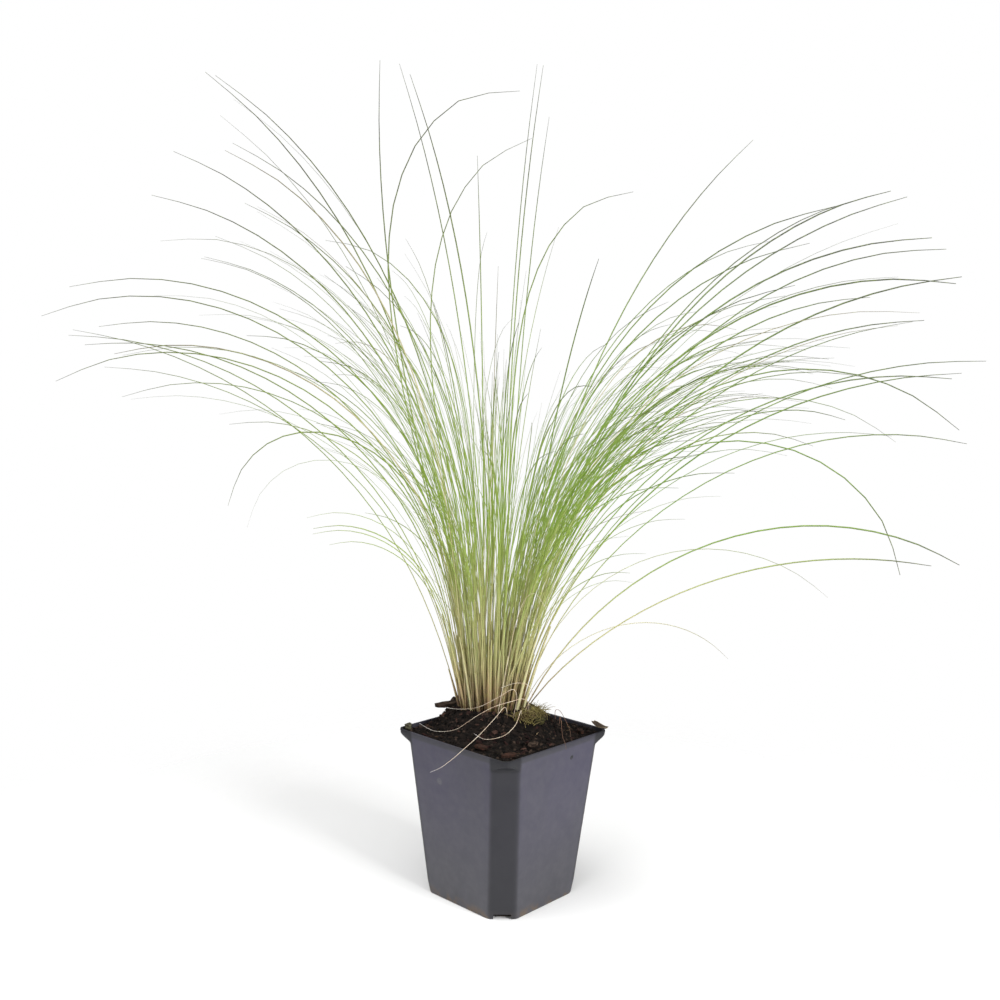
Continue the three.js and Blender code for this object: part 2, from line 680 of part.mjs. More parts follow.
function scrapGeometry() {
  const steps = 6;
  const rings = [];
  for (let i = 0; i <= steps; i += 1) {
    const t = i / steps - 0.5;
    const rise = 3.4 * scrap.curl * (2 * t) ** 2;
    const half = (scrap.width / 2) * (1 - 1.3 * t * t);
    const x = t * scrap.length;
    rings.push([
      new THREE.Vector3(x, -half, rise + half * scrap.curl),
      new THREE.Vector3(x, 0, rise),
      new THREE.Vector3(x, half, rise + half * scrap.curl),
      new THREE.Vector3(x, half, rise + half * scrap.curl + scrap.thick),
      new THREE.Vector3(x, 0, rise + scrap.thick),
      new THREE.Vector3(x, -half, rise + half * scrap.curl + scrap.thick),
    ]);
  }
  const geometry = skin(rings);
  geometry.rotateZ(THREE.MathUtils.degToRad(scrap.turn));
  return geometry.translate(scrap.x, scrap.y, scrap.z);
}

// ---- assembly ----
const feather = new THREE.Group();
feather.add(meshOf('pot', geometryOf(makePot()), finishes.pot));

const planting = new THREE.Group();
planting.rotation.z = fanTurn;
feather.add(planting);

const pockets = [crownPocket(), mossCore(gap)];
for (const strand of strands) pockets.push(stemPocket(strand[0][0], strand[0][1]));
for (const chip of barkChips) pockets.push(barkGeometry(chip, gap));
planting.add(meshOf('soil', geometryOf(makeSoil(pockets)), finishes.soil));

const barkDraw = makeDraw(31);
barkChips.forEach((chip, index) => {
  const geometry = geometryOf(solidOf(barkGeometry(chip, 0, barkDraw)));
  planting.add(meshOf(`bark_${index + 1}`, geometry, finishes.bark));
});
planting.add(meshOf('moss', geometryOf(makeMoss()), finishes.moss));
planting.add(meshOf('leaf_scrap', geometryOf(solidOf(scrapGeometry())), finishes.bark));

const taken = strands.map((strand) => takenBy(-1, strand.map((point) => new THREE.Vector3(...point)), strandRoom));
const [longChip] = barkChips;
const chipEnd = (side) => new THREE.Vector3(longChip.x + side * longChip.length, longChip.y, longChip.z);
taken.push(takenBy(-1, [chipEnd(-0.5), chipEnd(0.5)], longChip.width / 2));
const mossStem = [moss.halfZ, -moss.halfZ].map((z) => new THREE.Vector3(moss.x, moss.y, crownLevel + z));
taken.push(takenBy(-1, mossStem, moss.room));
strands.forEach((strand, index) => {
  planting.add(meshOf(`dry_leaf_${index + 1}`, geometryOf(strandSolid(strand)), finishes.leafDry));
});

const grown = growLeaves(taken);
for (let strip = 0; strip + 1 < stripEdges.length; strip += 1) {
  const leaves = grown.filter((leaf) => leaf.strip === strip);
  const bunch = leaves.reduce((body, leaf) => body.add(leaf.solid), crownStrip(strip));
  planting.add(meshOf(bunchNames[strip], geometryOf(mainBody(bunch)), finishes.leafGreen));
}

export default feather;
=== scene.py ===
import math
import random

import bmesh
import bpy
import numpy as np
from mathutils import Matrix, Vector, noise


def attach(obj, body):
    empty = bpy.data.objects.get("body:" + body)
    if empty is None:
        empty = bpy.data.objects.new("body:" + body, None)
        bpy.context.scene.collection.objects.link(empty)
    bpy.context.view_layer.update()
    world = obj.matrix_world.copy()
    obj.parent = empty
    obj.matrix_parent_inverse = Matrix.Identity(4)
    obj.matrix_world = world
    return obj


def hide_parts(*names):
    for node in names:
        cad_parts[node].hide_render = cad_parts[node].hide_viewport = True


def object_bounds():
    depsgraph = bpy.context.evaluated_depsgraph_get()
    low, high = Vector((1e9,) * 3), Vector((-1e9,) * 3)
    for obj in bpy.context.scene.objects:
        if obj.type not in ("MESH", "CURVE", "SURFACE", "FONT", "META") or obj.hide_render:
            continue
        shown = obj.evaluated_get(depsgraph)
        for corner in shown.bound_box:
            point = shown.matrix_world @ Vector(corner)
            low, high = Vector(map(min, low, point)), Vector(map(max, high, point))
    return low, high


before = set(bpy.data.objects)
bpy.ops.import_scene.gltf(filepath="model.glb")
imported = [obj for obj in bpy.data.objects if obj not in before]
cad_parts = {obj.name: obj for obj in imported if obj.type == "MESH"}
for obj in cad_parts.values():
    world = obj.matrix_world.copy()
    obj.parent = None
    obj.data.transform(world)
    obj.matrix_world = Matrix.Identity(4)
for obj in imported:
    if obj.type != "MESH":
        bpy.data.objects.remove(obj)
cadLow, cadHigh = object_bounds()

mm = 0.001
fanTurn = math.radians(44)  # the clump opens along the pot's diagonal
goldenAngle = math.pi * (3 - math.sqrt(5))
spiralStep = 2.39996  # nearly the golden angle, for the moss and the sheaths


def smooth(value, low, high):
    t = min(max((value - low) / (high - low), 0), 1)
    return t * t * (3 - 2 * t)


def turned(x, y, angle):
    c, s = math.cos(angle), math.sin(angle)
    return c * x - s * y, s * x + c * y


def spiral(i, count, angle):  # places spread evenly over a disc of radius 1
    out = math.sqrt((i + 0.5) / count)
    return out * math.cos(i * angle), out * math.sin(i * angle)


def fromFan(x, y, z):  # millimetres in the clump's own frame, to metres in the part's
    return Vector((*turned(x, y, fanTurn), z)) * mm


def addMesh(name, points, faces=(), edges=()):
    mesh = bpy.data.meshes.new(name)
    mesh.from_pydata(points, edges, faces)
    mesh.update()
    obj = bpy.data.objects.new(name, mesh)
    bpy.context.scene.collection.objects.link(obj)
    return obj


def addSkin(name, rings):  # a closed skin over rings of equally many points
    around = len(rings[0])
    faces = []
    for r in range(len(rings) - 1):
        for i in range(around):
            j = (i + 1) % around
            faces.append((r * around + i, r * around + j, (r + 1) * around + j, (r + 1) * around + i))
    last = (len(rings) - 1) * around
    faces.append(tuple(reversed(range(around))))
    faces.append(tuple(range(last, last + around)))
    obj = addMesh(name, [p for ring in rings for p in ring], faces)
    work = bmesh.new()
    work.from_mesh(obj.data)
    bmesh.ops.recalc_face_normals(work, faces=work.faces)
    work.to_mesh(obj.data)
    work.free()
    return obj


def addWorked(name, work):  # a finished bmesh becomes an object
    obj = addMesh(name, [])
    work.to_mesh(obj.data)
    work.free()
    return obj


def walked(x, y, z, heading, tilt, step):  # one step along a leaf or a blade
    return (x + math.cos(heading) * math.sin(tilt) * step, y + math.sin(heading) * math.sin(tilt) * step,
            z + math.cos(tilt) * step)


def dress(obj, paint, sharpAngle=None):  # one material, shaded smooth but for its sharp edges
    obj.data.materials.clear()
    obj.data.materials.append(paint)
    obj.data.shade_smooth()
    if sharpAngle:
        obj.data.set_sharp_from_angle(angle=math.radians(sharpAngle))


def setPointValues(obj, name, values):
    obj.data.attributes.new(name, "FLOAT", "POINT").data.foreach_set("value", values)


def bake(obj):  # an object with its modifiers becomes a plain mesh
    bpy.context.view_layer.update()
    evaluated = obj.evaluated_get(bpy.context.evaluated_depsgraph_get())
    mesh = bpy.data.meshes.new_from_object(evaluated)
    obj.modifiers.clear()
    obj.data = mesh
    return obj


def finishPiece(piece, slot, *nodes):
    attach(piece, "root")
    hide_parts(*nodes)


class Shading:  # a node material with short ways to add and join its nodes
    def __init__(self, name, roughness, specular):
        self.material = bpy.data.materials.new(name)
        self.material.use_nodes = True
        self.nodes = self.material.node_tree.nodes
        self.links = self.material.node_tree.links
        self.shader = self.nodes["Principled BSDF"]
        self.shader.inputs["Roughness"].default_value = roughness
        self.shader.inputs["Specular IOR Level"].default_value = specular
        self.coordinates = self.add("ShaderNodeTexCoord").outputs["Object"]

    def add(self, kind, **settings):
        node = self.nodes.new(kind)
        for key, value in settings.items():
            setattr(node, key, value)
        return node

    def addOnPlace(self, kind, **settings):  # a node whose first input is the place on the piece
        node = self.add(kind, **settings)
        self.links.new(self.coordinates, node.inputs[0])
        return node

    def put(self, value, socket):  # another socket, a number or a colour
        if isinstance(value, bpy.types.NodeSocket):
            self.links.new(value, socket)
        else:
            socket.default_value = (*value, 1) if isinstance(value, tuple) else value

    def attribute(self, name):
        return self.add("ShaderNodeAttribute", attribute_name=name).outputs["Fac"]

    def math(self, operation, a, b=0.0):
        node = self.add("ShaderNodeMath", operation=operation)
        self.put(a, node.inputs[0])
        self.put(b, node.inputs[1])
        return node.outputs[0]

    def times(self, a, b):
        return self.math("MULTIPLY", a, b)

    def span(self, value, low, high, toLow=0.0, toHigh=1.0):
        node = self.add("ShaderNodeMapRange", interpolation_type="SMOOTHSTEP")
        self.put(value, node.inputs["Value"])
        node.inputs["From Min"].default_value = low
        node.inputs["From Max"].default_value = high
        node.inputs["To Min"].default_value = toLow
        node.inputs["To Max"].default_value = toHigh
        return node.outputs["Result"]

    def mix(self, factor, a, b):
        node = self.add("ShaderNodeMix", data_type="RGBA")
        self.put(factor, node.inputs["Factor"])
        self.put(a, node.inputs["A"])
        self.put(b, node.inputs["B"])
        return node.outputs["Result"]

    def grain(self, scale, detail, stretch=None):
        node = self.addOnPlace("ShaderNodeTexNoise")
        if stretch:
            mapping = self.addOnPlace("ShaderNodeMapping")
            mapping.inputs["Scale"].default_value = stretch
            self.links.new(mapping.outputs["Vector"], node.inputs["Vector"])
        node.inputs["Scale"].default_value = scale
        node.inputs["Detail"].default_value = detail
        return node.outputs["Fac"]

    def axis(self, name):
        return self.addOnPlace("ShaderNodeSeparateXYZ").outputs[name]

    def measure(self, operation, point=(0, 0, 0)):  # a number got from the place and a point, both in metres
        node = self.addOnPlace("ShaderNodeVectorMath", operation=operation)
        node.inputs[1].default_value = point
        return node.outputs["Value"]

    def near(self, point, radius, soft):  # 1 close to a point, 0 away from it
        away = self.measure("DISTANCE", [c * mm for c in point])
        return self.span(away, (radius + soft) * mm, radius * mm)

    def bump(self, height, distance, strength):
        node = self.add("ShaderNodeBump")
        self.links.new(height, node.inputs["Height"])
        node.inputs["Distance"].default_value = distance
        node.inputs["Strength"].default_value = strength
        self.links.new(node.outputs["Normal"], self.shader.inputs["Normal"])

    def colour(self, value):
        self.put(value, self.shader.inputs["Base Color"])

    def blend(self, factor, over):  # the shader mixed with another one goes to the output
        both = self.add("ShaderNodeMixShader")
        self.put(factor, both.inputs["Fac"])
        self.links.new(self.shader.outputs[0], both.inputs[1])
        self.links.new(over.outputs[0], both.inputs[2])
        self.links.new(both.outputs[0], self.nodes["Material Output"].inputs["Surface"])


def potMaterial(look):
    s = Shading("potPlastic", look["roughness"], look["specular"])
    height = s.axis("Z")
    lipLow, lipFull = (look["height"] - down for down in look["lipBlend"])
    flareLow, flareFull = (look["height"] - down for down in look["flareBlend"])
    streaks = s.span(s.grain(60, 4, (1, 1, 0.06)), 0.35, 0.7)
    base = s.mix(s.span(height, 0.0, look["paleFrom"] * mm), look["colour"], look["upperColour"])
    base = s.mix(s.times(streaks, 0.5), base, look["streakColour"])
    mottle = s.span(s.grain(220, 5), 0.3, 0.75)
    base = s.mix(s.times(mottle, 0.15), base, look["dustColour"])
    low = s.times(s.span(height, look["dirtBelow"] * mm, 0.0), s.span(s.grain(140, 4), 0.42, 0.62))
    base = s.mix(low, base, look["dirtColour"])
    for point, radius, soft, colour in look["marks"]:
        rough = s.times(s.near(point, radius, soft), s.span(s.grain(900, 2), 0.3, 0.5))
        base = s.mix(rough, base, colour)
    base = s.mix(s.span(height, lipLow * mm, lipFull * mm, 0, 0.6), base, look["lipColour"])
    # the flat corners are darkened with painted shade: they are where the sum of x and y is near its most at
    # each height
    twiceHalf = s.times(height, 2 * (look["rimHalf"] - look["baseHalf"]) / look["height"])
    across = s.math("ADD", s.math("ABSOLUTE", s.axis("X")), s.math("ABSOLUTE", s.axis("Y")))
    mostAtBase = (2 * look["baseHalf"] - look["cornerFlat"] / math.sqrt(2)) * mm
    beyond = s.math("SUBTRACT", s.math("SUBTRACT", across, twiceHalf), mostAtBase)
    # how much painted shade a corner gets, rising to full up under the lip
    flare = s.span(height, flareLow * mm, (flareFull + 0.5) * mm, look["cornerShade"], 1.0)
    corner = s.times(s.span(beyond, -look["cornerBlend"] * mm, 0.0), flare)
    base = s.mix(corner, base, look["cornerShadeColour"])
    # painted shade up under the lip at the corners, where the flare faces the floor; its reflection is dulled
    # too
    underLipShade = s.times(corner, s.span(height, flareLow * mm, flareFull * mm))
    s.colour(s.mix(underLipShade, base, look["underLipShadeColour"]))
    dullness = s.math("ADD", s.times(corner, 0.6), underLipShade)
    s.put(s.span(dullness, 0, 1.6, look["specular"], look["flareSpecular"]),
          s.shader.inputs["Specular IOR Level"])
    s.put(s.span(s.grain(90, 4), 0.2, 0.8, look["roughness"] - 0.08, look["roughness"] + 0.12),
          s.shader.inputs["Roughness"])
    s.bump(s.grain(1500, 3), 0.00008, 0.5)
    return s.material


def earthMaterial(name, dark, middle, light, scale=350):
    s = Shading(name, 0.95, 0.14)
    base = s.mix(s.span(s.grain(scale, 6), 0.35, 0.7), dark, middle)
    s.colour(s.mix(s.span(s.attribute("tone"), 0.72, 0.98), base, light))
    s.bump(s.grain(scale * 4, 4), 0.0004, 0.8)
    return s.material


def leafMaterial(look):
    s = Shading("grassLeaf", look["roughness"], look["specular"])
    tone, share, dry = s.attribute("tone"), s.attribute("share"), s.attribute("dry")
    height = s.axis("Z")
    right = s.span(s.measure("DOT_PRODUCT", fromFan(1000, 0, 0)), -0.05, 0.1)
    green = s.mix(s.span(tone, 0.1, 0.9), look["green"], look["paleGreen"])
    deep = s.mix(s.span(tone, 0.3, 0.9), look["deepGreen"], look["green"])
    green = s.mix(s.times(right, 0.75), green, deep)
    foot = s.mix(s.span(tone, 0.2, 0.8), look["straw"], look["paleStraw"])
    foot = s.mix(s.times(s.span(height, *look["tanOver"]), 0.8), foot, look["tan"])
    # the very foot goes dark brown: partly the leaves' own brown base, partly painted shade at the foot of
    # the tuft
    foot = s.mix(s.times(s.span(height, *look["footBrownAndShadeOver"]), 0.95), foot, look["footBrownAndShade"])
    rise = s.math("ADD", height, s.span(tone, 0.0, 1.0, -0.03, 0.03))
    browned = s.times(s.span(tone, 0.17, 0.1), s.span(height, *look["sheathBrownOver"], 0, 0.8))
    foot = s.mix(browned, foot, look["brownSheath"])
    base = s.mix(s.span(rise, look["greenFrom"], look["greenTo"]), foot, green)
    reach = s.measure("DISTANCE", fromFan(look["centreX"], 0, look["rootZ"]))
    base = s.mix(s.span(reach, *look["duller"], 0, 0.5), base, look["dull"])
    outer = s.math("MAXIMUM", s.span(reach, *look["outer"]), s.span(share, look["tipFrom"], 1.0))
    base = s.mix(s.times(outer, s.span(reach, *look["fading"], 0.35, 0.9)), base, look["tip"])
    base = s.mix(dry, base, s.mix(s.span(share, 0.4, 1), look["paleStraw"], look["dryTip"]))
    base = s.mix(s.times(s.span(s.grain(400, 3), 0.4, 0.7), 0.25), base, look["paleGreen"])
    s.colour(base)
    glow = s.add("ShaderNodeBsdfTranslucent")
    s.links.new(base, glow.inputs["Color"])
    s.blend(look["translucence"], glow)
    return s.material


def dryMaterial(name, pale, dark, tip=None, foot=None):
    s = Shading(name, 0.55, 0.35)
    share = s.attribute("share")
    base = s.mix(s.span(s.grain(260, 4), 0.35, 0.7), pale, dark)
    base = s.mix(s.span(share, 0.75, 1.0), base, tip or dark)
    if foot:
        base = s.mix(s.span(share, 0.2, 0.1), base, foot)
    s.colour(base)
    return s.material


def newTree(name, **inputs):  # an empty geometry tree with named inputs, and a way to add a node to it
    tree = bpy.data.node_groups.new(name, "GeometryNodeTree")
    tree.interface.new_socket("Geometry", in_out="INPUT", socket_type="NodeSocketGeometry")
    tree.interface.new_socket("Geometry", in_out="OUTPUT", socket_type="NodeSocketGeometry")
    for title, kind in inputs.items():
        tree.interface.new_socket(title, in_out="INPUT", socket_type="NodeSocket" + kind)

    def add(kind, settings=None, **sockets):  # in0 is a node's first socket, others go by name
        node = tree.nodes.new(kind)
        for key, value in (settings or {}).items():
            setattr(node, key, value)
        for key, value in sockets.items():
            socket = node.inputs[int(key[2:])] if key.startswith("in") else node.inputs[key.replace("_", " ")]
            if isinstance(value, bpy.types.NodeSocket):
                tree.links.new(value, socket)
            else:
                socket.default_value = value
        return node

    return tree, add, tree.nodes.new("NodeGroupInput").outputs


def endTree(tree, add, geometry, material):
    painted = add("GeometryNodeSetMaterial", in0=geometry, Material=material)
    real = add("GeometryNodeRealizeInstances", in0=painted.outputs[0])
    tree.links.new(real.outputs[0], tree.nodes.new("NodeGroupOutput").inputs[0])
    return tree


def useTree(obj, tree, **values):  # runs a tree with the inputs it has among the values, keeps the plain mesh
    modifier = obj.modifiers.new(tree.name, "NODES")
    modifier.node_group = tree
    for item in tree.interface.items_tree:
        if item.in_out == "INPUT" and item.name in values:
            modifier[item.identifier] = values[item.name]
    return bake(obj)


def sweepTree():  # leaves, sheaths and strands: a round section swept along smooth guide lines
    tree, add, given = newTree("leafSweep", pointsAlong="Int", sides="Int", material="Material")
    curve = add("GeometryNodeMeshToCurve", Mesh=given["Geometry"])
    rounded = add("GeometryNodeCurveSplineType", {"spline_type": "CATMULL_ROM"}, Curve=curve.outputs[0])
    even = add("GeometryNodeResampleCurve", Curve=rounded.outputs[0], Count=given["pointsAlong"])
    half = add("GeometryNodeInputNamedAttribute", {"data_type": "FLOAT"}, Name="halfWidth")
    section = add("GeometryNodeCurvePrimitiveCircle", Resolution=given["sides"], Radius=1.0)
    swept = add("GeometryNodeCurveToMesh", Curve=even.outputs[0], Profile_Curve=section.outputs[0],
                Scale=half.outputs[0], Fill_Caps=True)
    soft = add("GeometryNodeSetShadeSmooth", in0=swept.outputs[0])
    return endTree(tree, add, soft.outputs[0], given["material"])


def crumbTree():  # crumbs, flakes and fibres strewn over the top of the soil
    tree, add, given = newTree("soilCrumbs", crumbSize="Float", crumbsPerArea="Float", room="Float",
                               flatness="Float", slenderness="Float", seed="Int", material="Material")
    fromEdge = add("GeometryNodeInputNamedAttribute", {"data_type": "FLOAT"}, Name="fromEdge")
    onTop = add("FunctionNodeCompare", {"data_type": "FLOAT", "operation": "GREATER_THAN"},
                in0=fromEdge.outputs[0], in1=given["room"])
    strewn = add("GeometryNodeDistributePointsOnFaces", Mesh=given["Geometry"], Selection=onTop.outputs[0],
                 Density=given["crumbsPerArea"], Seed=given["seed"])
    grain = add("GeometryNodeMeshIcoSphere", Radius=1.0, Subdivisions=2)
    bumps = add("ShaderNodeTexNoise", Scale=1.6, Detail=1.0)

    def vector(operation, first, **other):
        return add("ShaderNodeVectorMath", {"operation": operation}, in0=first, **other).outputs[0]

    def between(low, high, **seed):
        drawn = add("FunctionNodeRandomValue", {"data_type": "FLOAT_VECTOR"}, in0=low, in1=high, **seed)
        return drawn.outputs[0]

    jagged = vector("SCALE", vector("SUBTRACT", bumps.outputs["Color"], in1=(0.5, 0.5, 0.5)), Scale=1.7)
    rough = add("GeometryNodeSetPosition", Geometry=grain.outputs[0], Offset=jagged)
    sizes = vector("SCALE", between((0.3, 0.3, 0.3), (1, 1, 1), Seed=given["seed"]), Scale=given["crumbSize"])
    squash = add("ShaderNodeCombineXYZ", in0=1.0, in1=given["slenderness"], in2=given["flatness"])
    flat = vector("MULTIPLY", sizes, in1=squash.outputs[0])
    turn = between((-0.6, -0.6, 0), (0.6, 0.6, 6.283))  # tilted a little, headed anywhere
    placed = add("GeometryNodeInstanceOnPoints", Points=strewn.outputs["Points"], Instance=rough.outputs[0],
                 Rotation=turn, Scale=flat)
    tone = add("FunctionNodeRandomValue", {"data_type": "FLOAT"})
    stored = add("GeometryNodeStoreNamedAttribute", {"domain": "INSTANCE"},
                 Geometry=placed.outputs[0], Name="tone", Value=tone.outputs[1])
    return endTree(tree, add, stored.outputs[0], given["material"])


leafSweep = sweepTree()
soilCrumbs = crumbTree()


def guideLines(name, lines):  # for the sweep: points in metres, half widths and values for the shader
    points, edges, halfWidths, shares, tones, drys = [], [], [], [], [], []
    for line in lines:
        start = len(points)
        count = len(line["points"])
        points += line["points"]
        edges += [(start + i, start + i + 1) for i in range(count - 1)]
        halfWidths += line["halfWidths"]
        shares += line.get("shares", [i / (count - 1) for i in range(count)])
        tones += [line["tone"]] * count
        drys += [line.get("dry", 0.0)] * count
    obj = addMesh(name, points, edges=edges)
    for key, values in (("halfWidth", halfWidths), ("share", shares), ("tone", tones), ("dry", drys)):
        setPointValues(obj, key, values)
    return obj


pot = {
    "height": 100, "rimHalf": 45.35, "baseHalf": 35.95, "rimBow": 0.4, "wall": 1.2, "floor": 1.5,
    "cornerFlat": 14.5, "rimCornerFlat": 3.5, "lipHeight": 2.6, "flareHeight": 4,
    "footTurnIn": 0.8, "footHeight": 8,
    "notch": (11.2, 26, 3.3), "notchSlant": 0.9, "drainRadius": 4, "drainReach": 21, "drainCut": 9,
    "cornerSoftness": 2.2, "rimSoftness": 1.2, "edgeRound": 0.45, "sharpAngle": 32,
    "sideSteps": 8, "cornerSteps": 4, "flareSteps": 6,
    "roughness": 0.4, "specular": 0.4, "flareSpecular": 0.22,
    "paleFrom": 85, "dirtBelow": 7, "cornerBlend": 3.2, "cornerShade": 0.84,
    "lipBlend": (4.2, 2.6), "flareBlend": (9.5, 7),  # down from the top
    "colour": (0.046, 0.045, 0.053), "upperColour": (0.047, 0.043, 0.072),
    "streakColour": (0.05, 0.049, 0.063), "dustColour": (0.1, 0.1, 0.115),
    # painted shade for the corner strips, and a deeper one up under the lip at the corners
    "cornerShadeColour": (0.012, 0.012, 0.015), "underLipShadeColour": (0.02, 0.02, 0.024),
    "lipColour": (0.027, 0.027, 0.028), "dirtColour": (0.1, 0.07, 0.045),
    "marks": [  # place, radius, softness, colour
        ((44.9, 12, 90), 1.1, 0.5, (0.006, 0.006, 0.006)),
        ((-10, -43, 75), 0.9, 2, (0.085, 0.085, 0.1)),
    ],
}


def halfAt(z):
    return pot["baseHalf"] + (pot["rimHalf"] - pot["baseHalf"]) * z / pot["height"]


def potRing(z, inset, flat, soft):  # square, with flat softened corners and bowed sides
    steps, cornerSteps = pot["sideSteps"], pot["cornerSteps"]
    half = halfAt(z) - inset
    bow = pot["rimBow"] * (z / pot["height"]) ** 2
    reach = half - flat / math.sqrt(2)
    outline = []
    for side in range(4):
        for i in range(steps + 1):
            t = -1 + 2 * i / steps
            point = Vector((half + bow * (1 - t * t), reach * t, 0))
            outline.append(Matrix.Rotation(side * math.pi / 2, 3, "Z") @ point)
    ring = []
    count = len(outline)
    for i, point in enumerate(outline):
        if i % (steps + 1) not in (0, steps):
            ring.append(Vector((point.x, point.y, z)))
            continue
        before = (outline[i - 1] - point).normalized()
        after = (outline[(i + 1) % count] - point).normalized()
        for k in range(cornerSteps + 1):
            t = k / cornerSteps
            bent = point + before * soft * (1 - t) ** 2 + after * soft * t * t
            ring.append(Vector((bent.x, bent.y, z)))
    return ring


def makePot():
    corner, rimCorner = pot["cornerFlat"], pot["rimCornerFlat"]
    soft, rimSoft, edge = pot["cornerSoftness"], pot["rimSoftness"], pot["edgeRound"]
    top, wall, flareSteps = pot["height"], pot["wall"], pot["flareSteps"]
    flareBottom = top - pot["lipHeight"] - pot["flareHeight"]

    def footFlat(z, less=0.0):
        return corner - less + 2 * pot["footTurnIn"] * (1 - min(z / pot["footHeight"], 1)) ** 1.4

    # up the outside, over the lip and down the inside
    foot = corner + 2 * pot["footTurnIn"]
    rings = [potRing(0, edge, foot - edge, soft), potRing(0.12, edge * 0.35, foot, soft)]
    rings += [potRing(z, 0, footFlat(z), soft) for z in (edge, 2, 4, 6)]
    rings += [potRing(z, 0, corner, soft) for z in (8, 20, 35, 50, 65, 80, flareBottom - 1)]
    for k in range(1, flareSteps + 1):  # the corners flare out square under the lip
        t = k / flareSteps
        flat = corner + (rimCorner - corner) * smooth(t, 0, 1)
        z = flareBottom - 1 + (pot["flareHeight"] + 1) * t
        rings.append(potRing(z, 0, flat, soft + (rimSoft - soft) * t))
    for down, inset in ((edge, 0), (edge * 0.3, edge * 0.15), (0, edge * 0.6), (0, wall - edge * 0.5),
                        (edge * 0.6, wall)):
        rings.append(potRing(top - down, inset, rimCorner, rimSoft))
    for k in range(flareSteps, -1, -1):
        t = k / flareSteps
        flat = corner - wall + (rimCorner - corner + wall / 2) * smooth(t, 0, 1)
        z = flareBottom + wall + pot["flareHeight"] * t
        rings.append(potRing(z, wall, flat, (soft + (rimSoft - soft) * t) * 0.8))
    rings += [potRing(z, wall, footFlat(z, wall), soft * 0.8) for z in (50, 8, 4, pot["floor"])]
    piece = addSkin("potFine", [[p * mm for p in ring] for ring in rings])
    cutters = bmesh.new()
    width, depth, height = (size * mm for size in pot["notch"])
    radius = pot["drainRadius"] * mm

    def placed(turn, out):
        return Matrix.Rotation(turn, 4, "Z") @ Matrix.Translation((0, out * mm, 0))

    for side in range(4):
        turn = math.pi / 4 + side * math.pi / 2
        place = placed(turn, pot["baseHalf"] * math.sqrt(2))
        form = place @ Matrix.Diagonal((width, depth, height * 2, 1))
        middle = place.translation
        for vert in bmesh.ops.create_cube(cutters, size=1, matrix=form)["verts"]:
            if vert.co.z > 0:  # the notch's sides slant
                vert.co.x = middle.x + (vert.co.x - middle.x) * pot["notchSlant"]
                vert.co.y = middle.y + (vert.co.y - middle.y) * pot["notchSlant"]
        place = placed(turn + math.pi / 4, pot["drainReach"])
        bmesh.ops.create_cone(cutters, cap_ends=True, segments=24, radius1=radius, radius2=radius,
                              depth=pot["drainCut"] * mm, matrix=place)
    bmesh.ops.recalc_face_normals(cutters, faces=cutters.faces)
    cutter = addWorked("potCuts", cutters)
    cut = piece.modifiers.new("cut", "BOOLEAN")
    cut.operation, cut.object, cut.solver = "DIFFERENCE", cutter, "EXACT"
    bake(piece)
    bpy.data.objects.remove(cutter)
    dress(piece, potMaterial(pot), pot["sharpAngle"])
    finishPiece(piece, "pot", "pot")
    return piece


potPiece = makePot()
print("pot:", len(potPiece.data.polygons), "faces")

soil = {
    "edge": 98.4, "edgeDrop": 0.6, "crown": 111.6, "moundInner": 19, "moundOuter": 45, "centreX": -2,
    "gap": 0.3,  # to the pot
    "heaps": [(-32, 8, 6.4, 9), (20.5, -15, 1.4, 7), (-6, -40, 1.0, 9)],  # place, height, spread
    "roughness": 1.1, "sunk": 0.3, "footRise": 2.2, "shoots": (-4, 21.5, 16), "seed": 4,
    "softness": 2.4, "edgeSoftness": 1.6, "topRings": 40, "tone": 0.3,
    "colours": ((0.003, 0.0025, 0.002), (0.012, 0.008, 0.006), (0.04, 0.025, 0.018)),
}

# what lies on the soil: sizes and the room to the pot's wall in metres, colours from dark to light
strewn = {
    "peatCrumbs": {"crumbSize": 0.0015, "room": 0.0004, "crumbsPerArea": 275000.0,
                   "flatness": 0.6, "slenderness": 0.6,
                   "colours": ((0.003, 0.0024, 0.002), (0.014, 0.01, 0.008), (0.046, 0.031, 0.023))},
    "barkFlakes": {"crumbSize": 0.0036, "room": 0.0032, "crumbsPerArea": 17000.0,
                   "flatness": 0.24, "slenderness": 0.45,
                   "colours": ((0.008, 0.004, 0.004), (0.026, 0.011, 0.009), (0.075, 0.04, 0.03))},
    "fibres": {"crumbSize": 0.0055, "room": 0.0032, "crumbsPerArea": 6000.0,
               "flatness": 0.08, "slenderness": 0.08,
               "colours": ((0.02, 0.013, 0.009), (0.07, 0.042, 0.026), (0.24, 0.17, 0.1))},
}


def soilTop(x, y):
    away = smooth(math.hypot(x - soil["centreX"], y), soil["moundInner"], soil["moundOuter"])
    z = soil["crown"] + (soil["edge"] - soil["crown"]) * away
    for heapX, heapY, rise, spread in soil["heaps"]:
        z += rise * math.exp(-(((x - heapX) ** 2 + (y - heapY) ** 2) / spread ** 2))
    return z


def roughTop(x, y):  # heaped round the shoots
    rough = noise.fractal(Vector((x, y, 3.1)) * 0.22, 0.7, 2.1, 5) * soil["roughness"]
    crownX, halfX, halfY = soil["shoots"]
    away = math.hypot((x - crownX) / halfX, y / halfY)
    return soilTop(x, y) + rough - soil["sunk"] + soil["footRise"] * (1 - smooth(away, 0.95, 1.4))


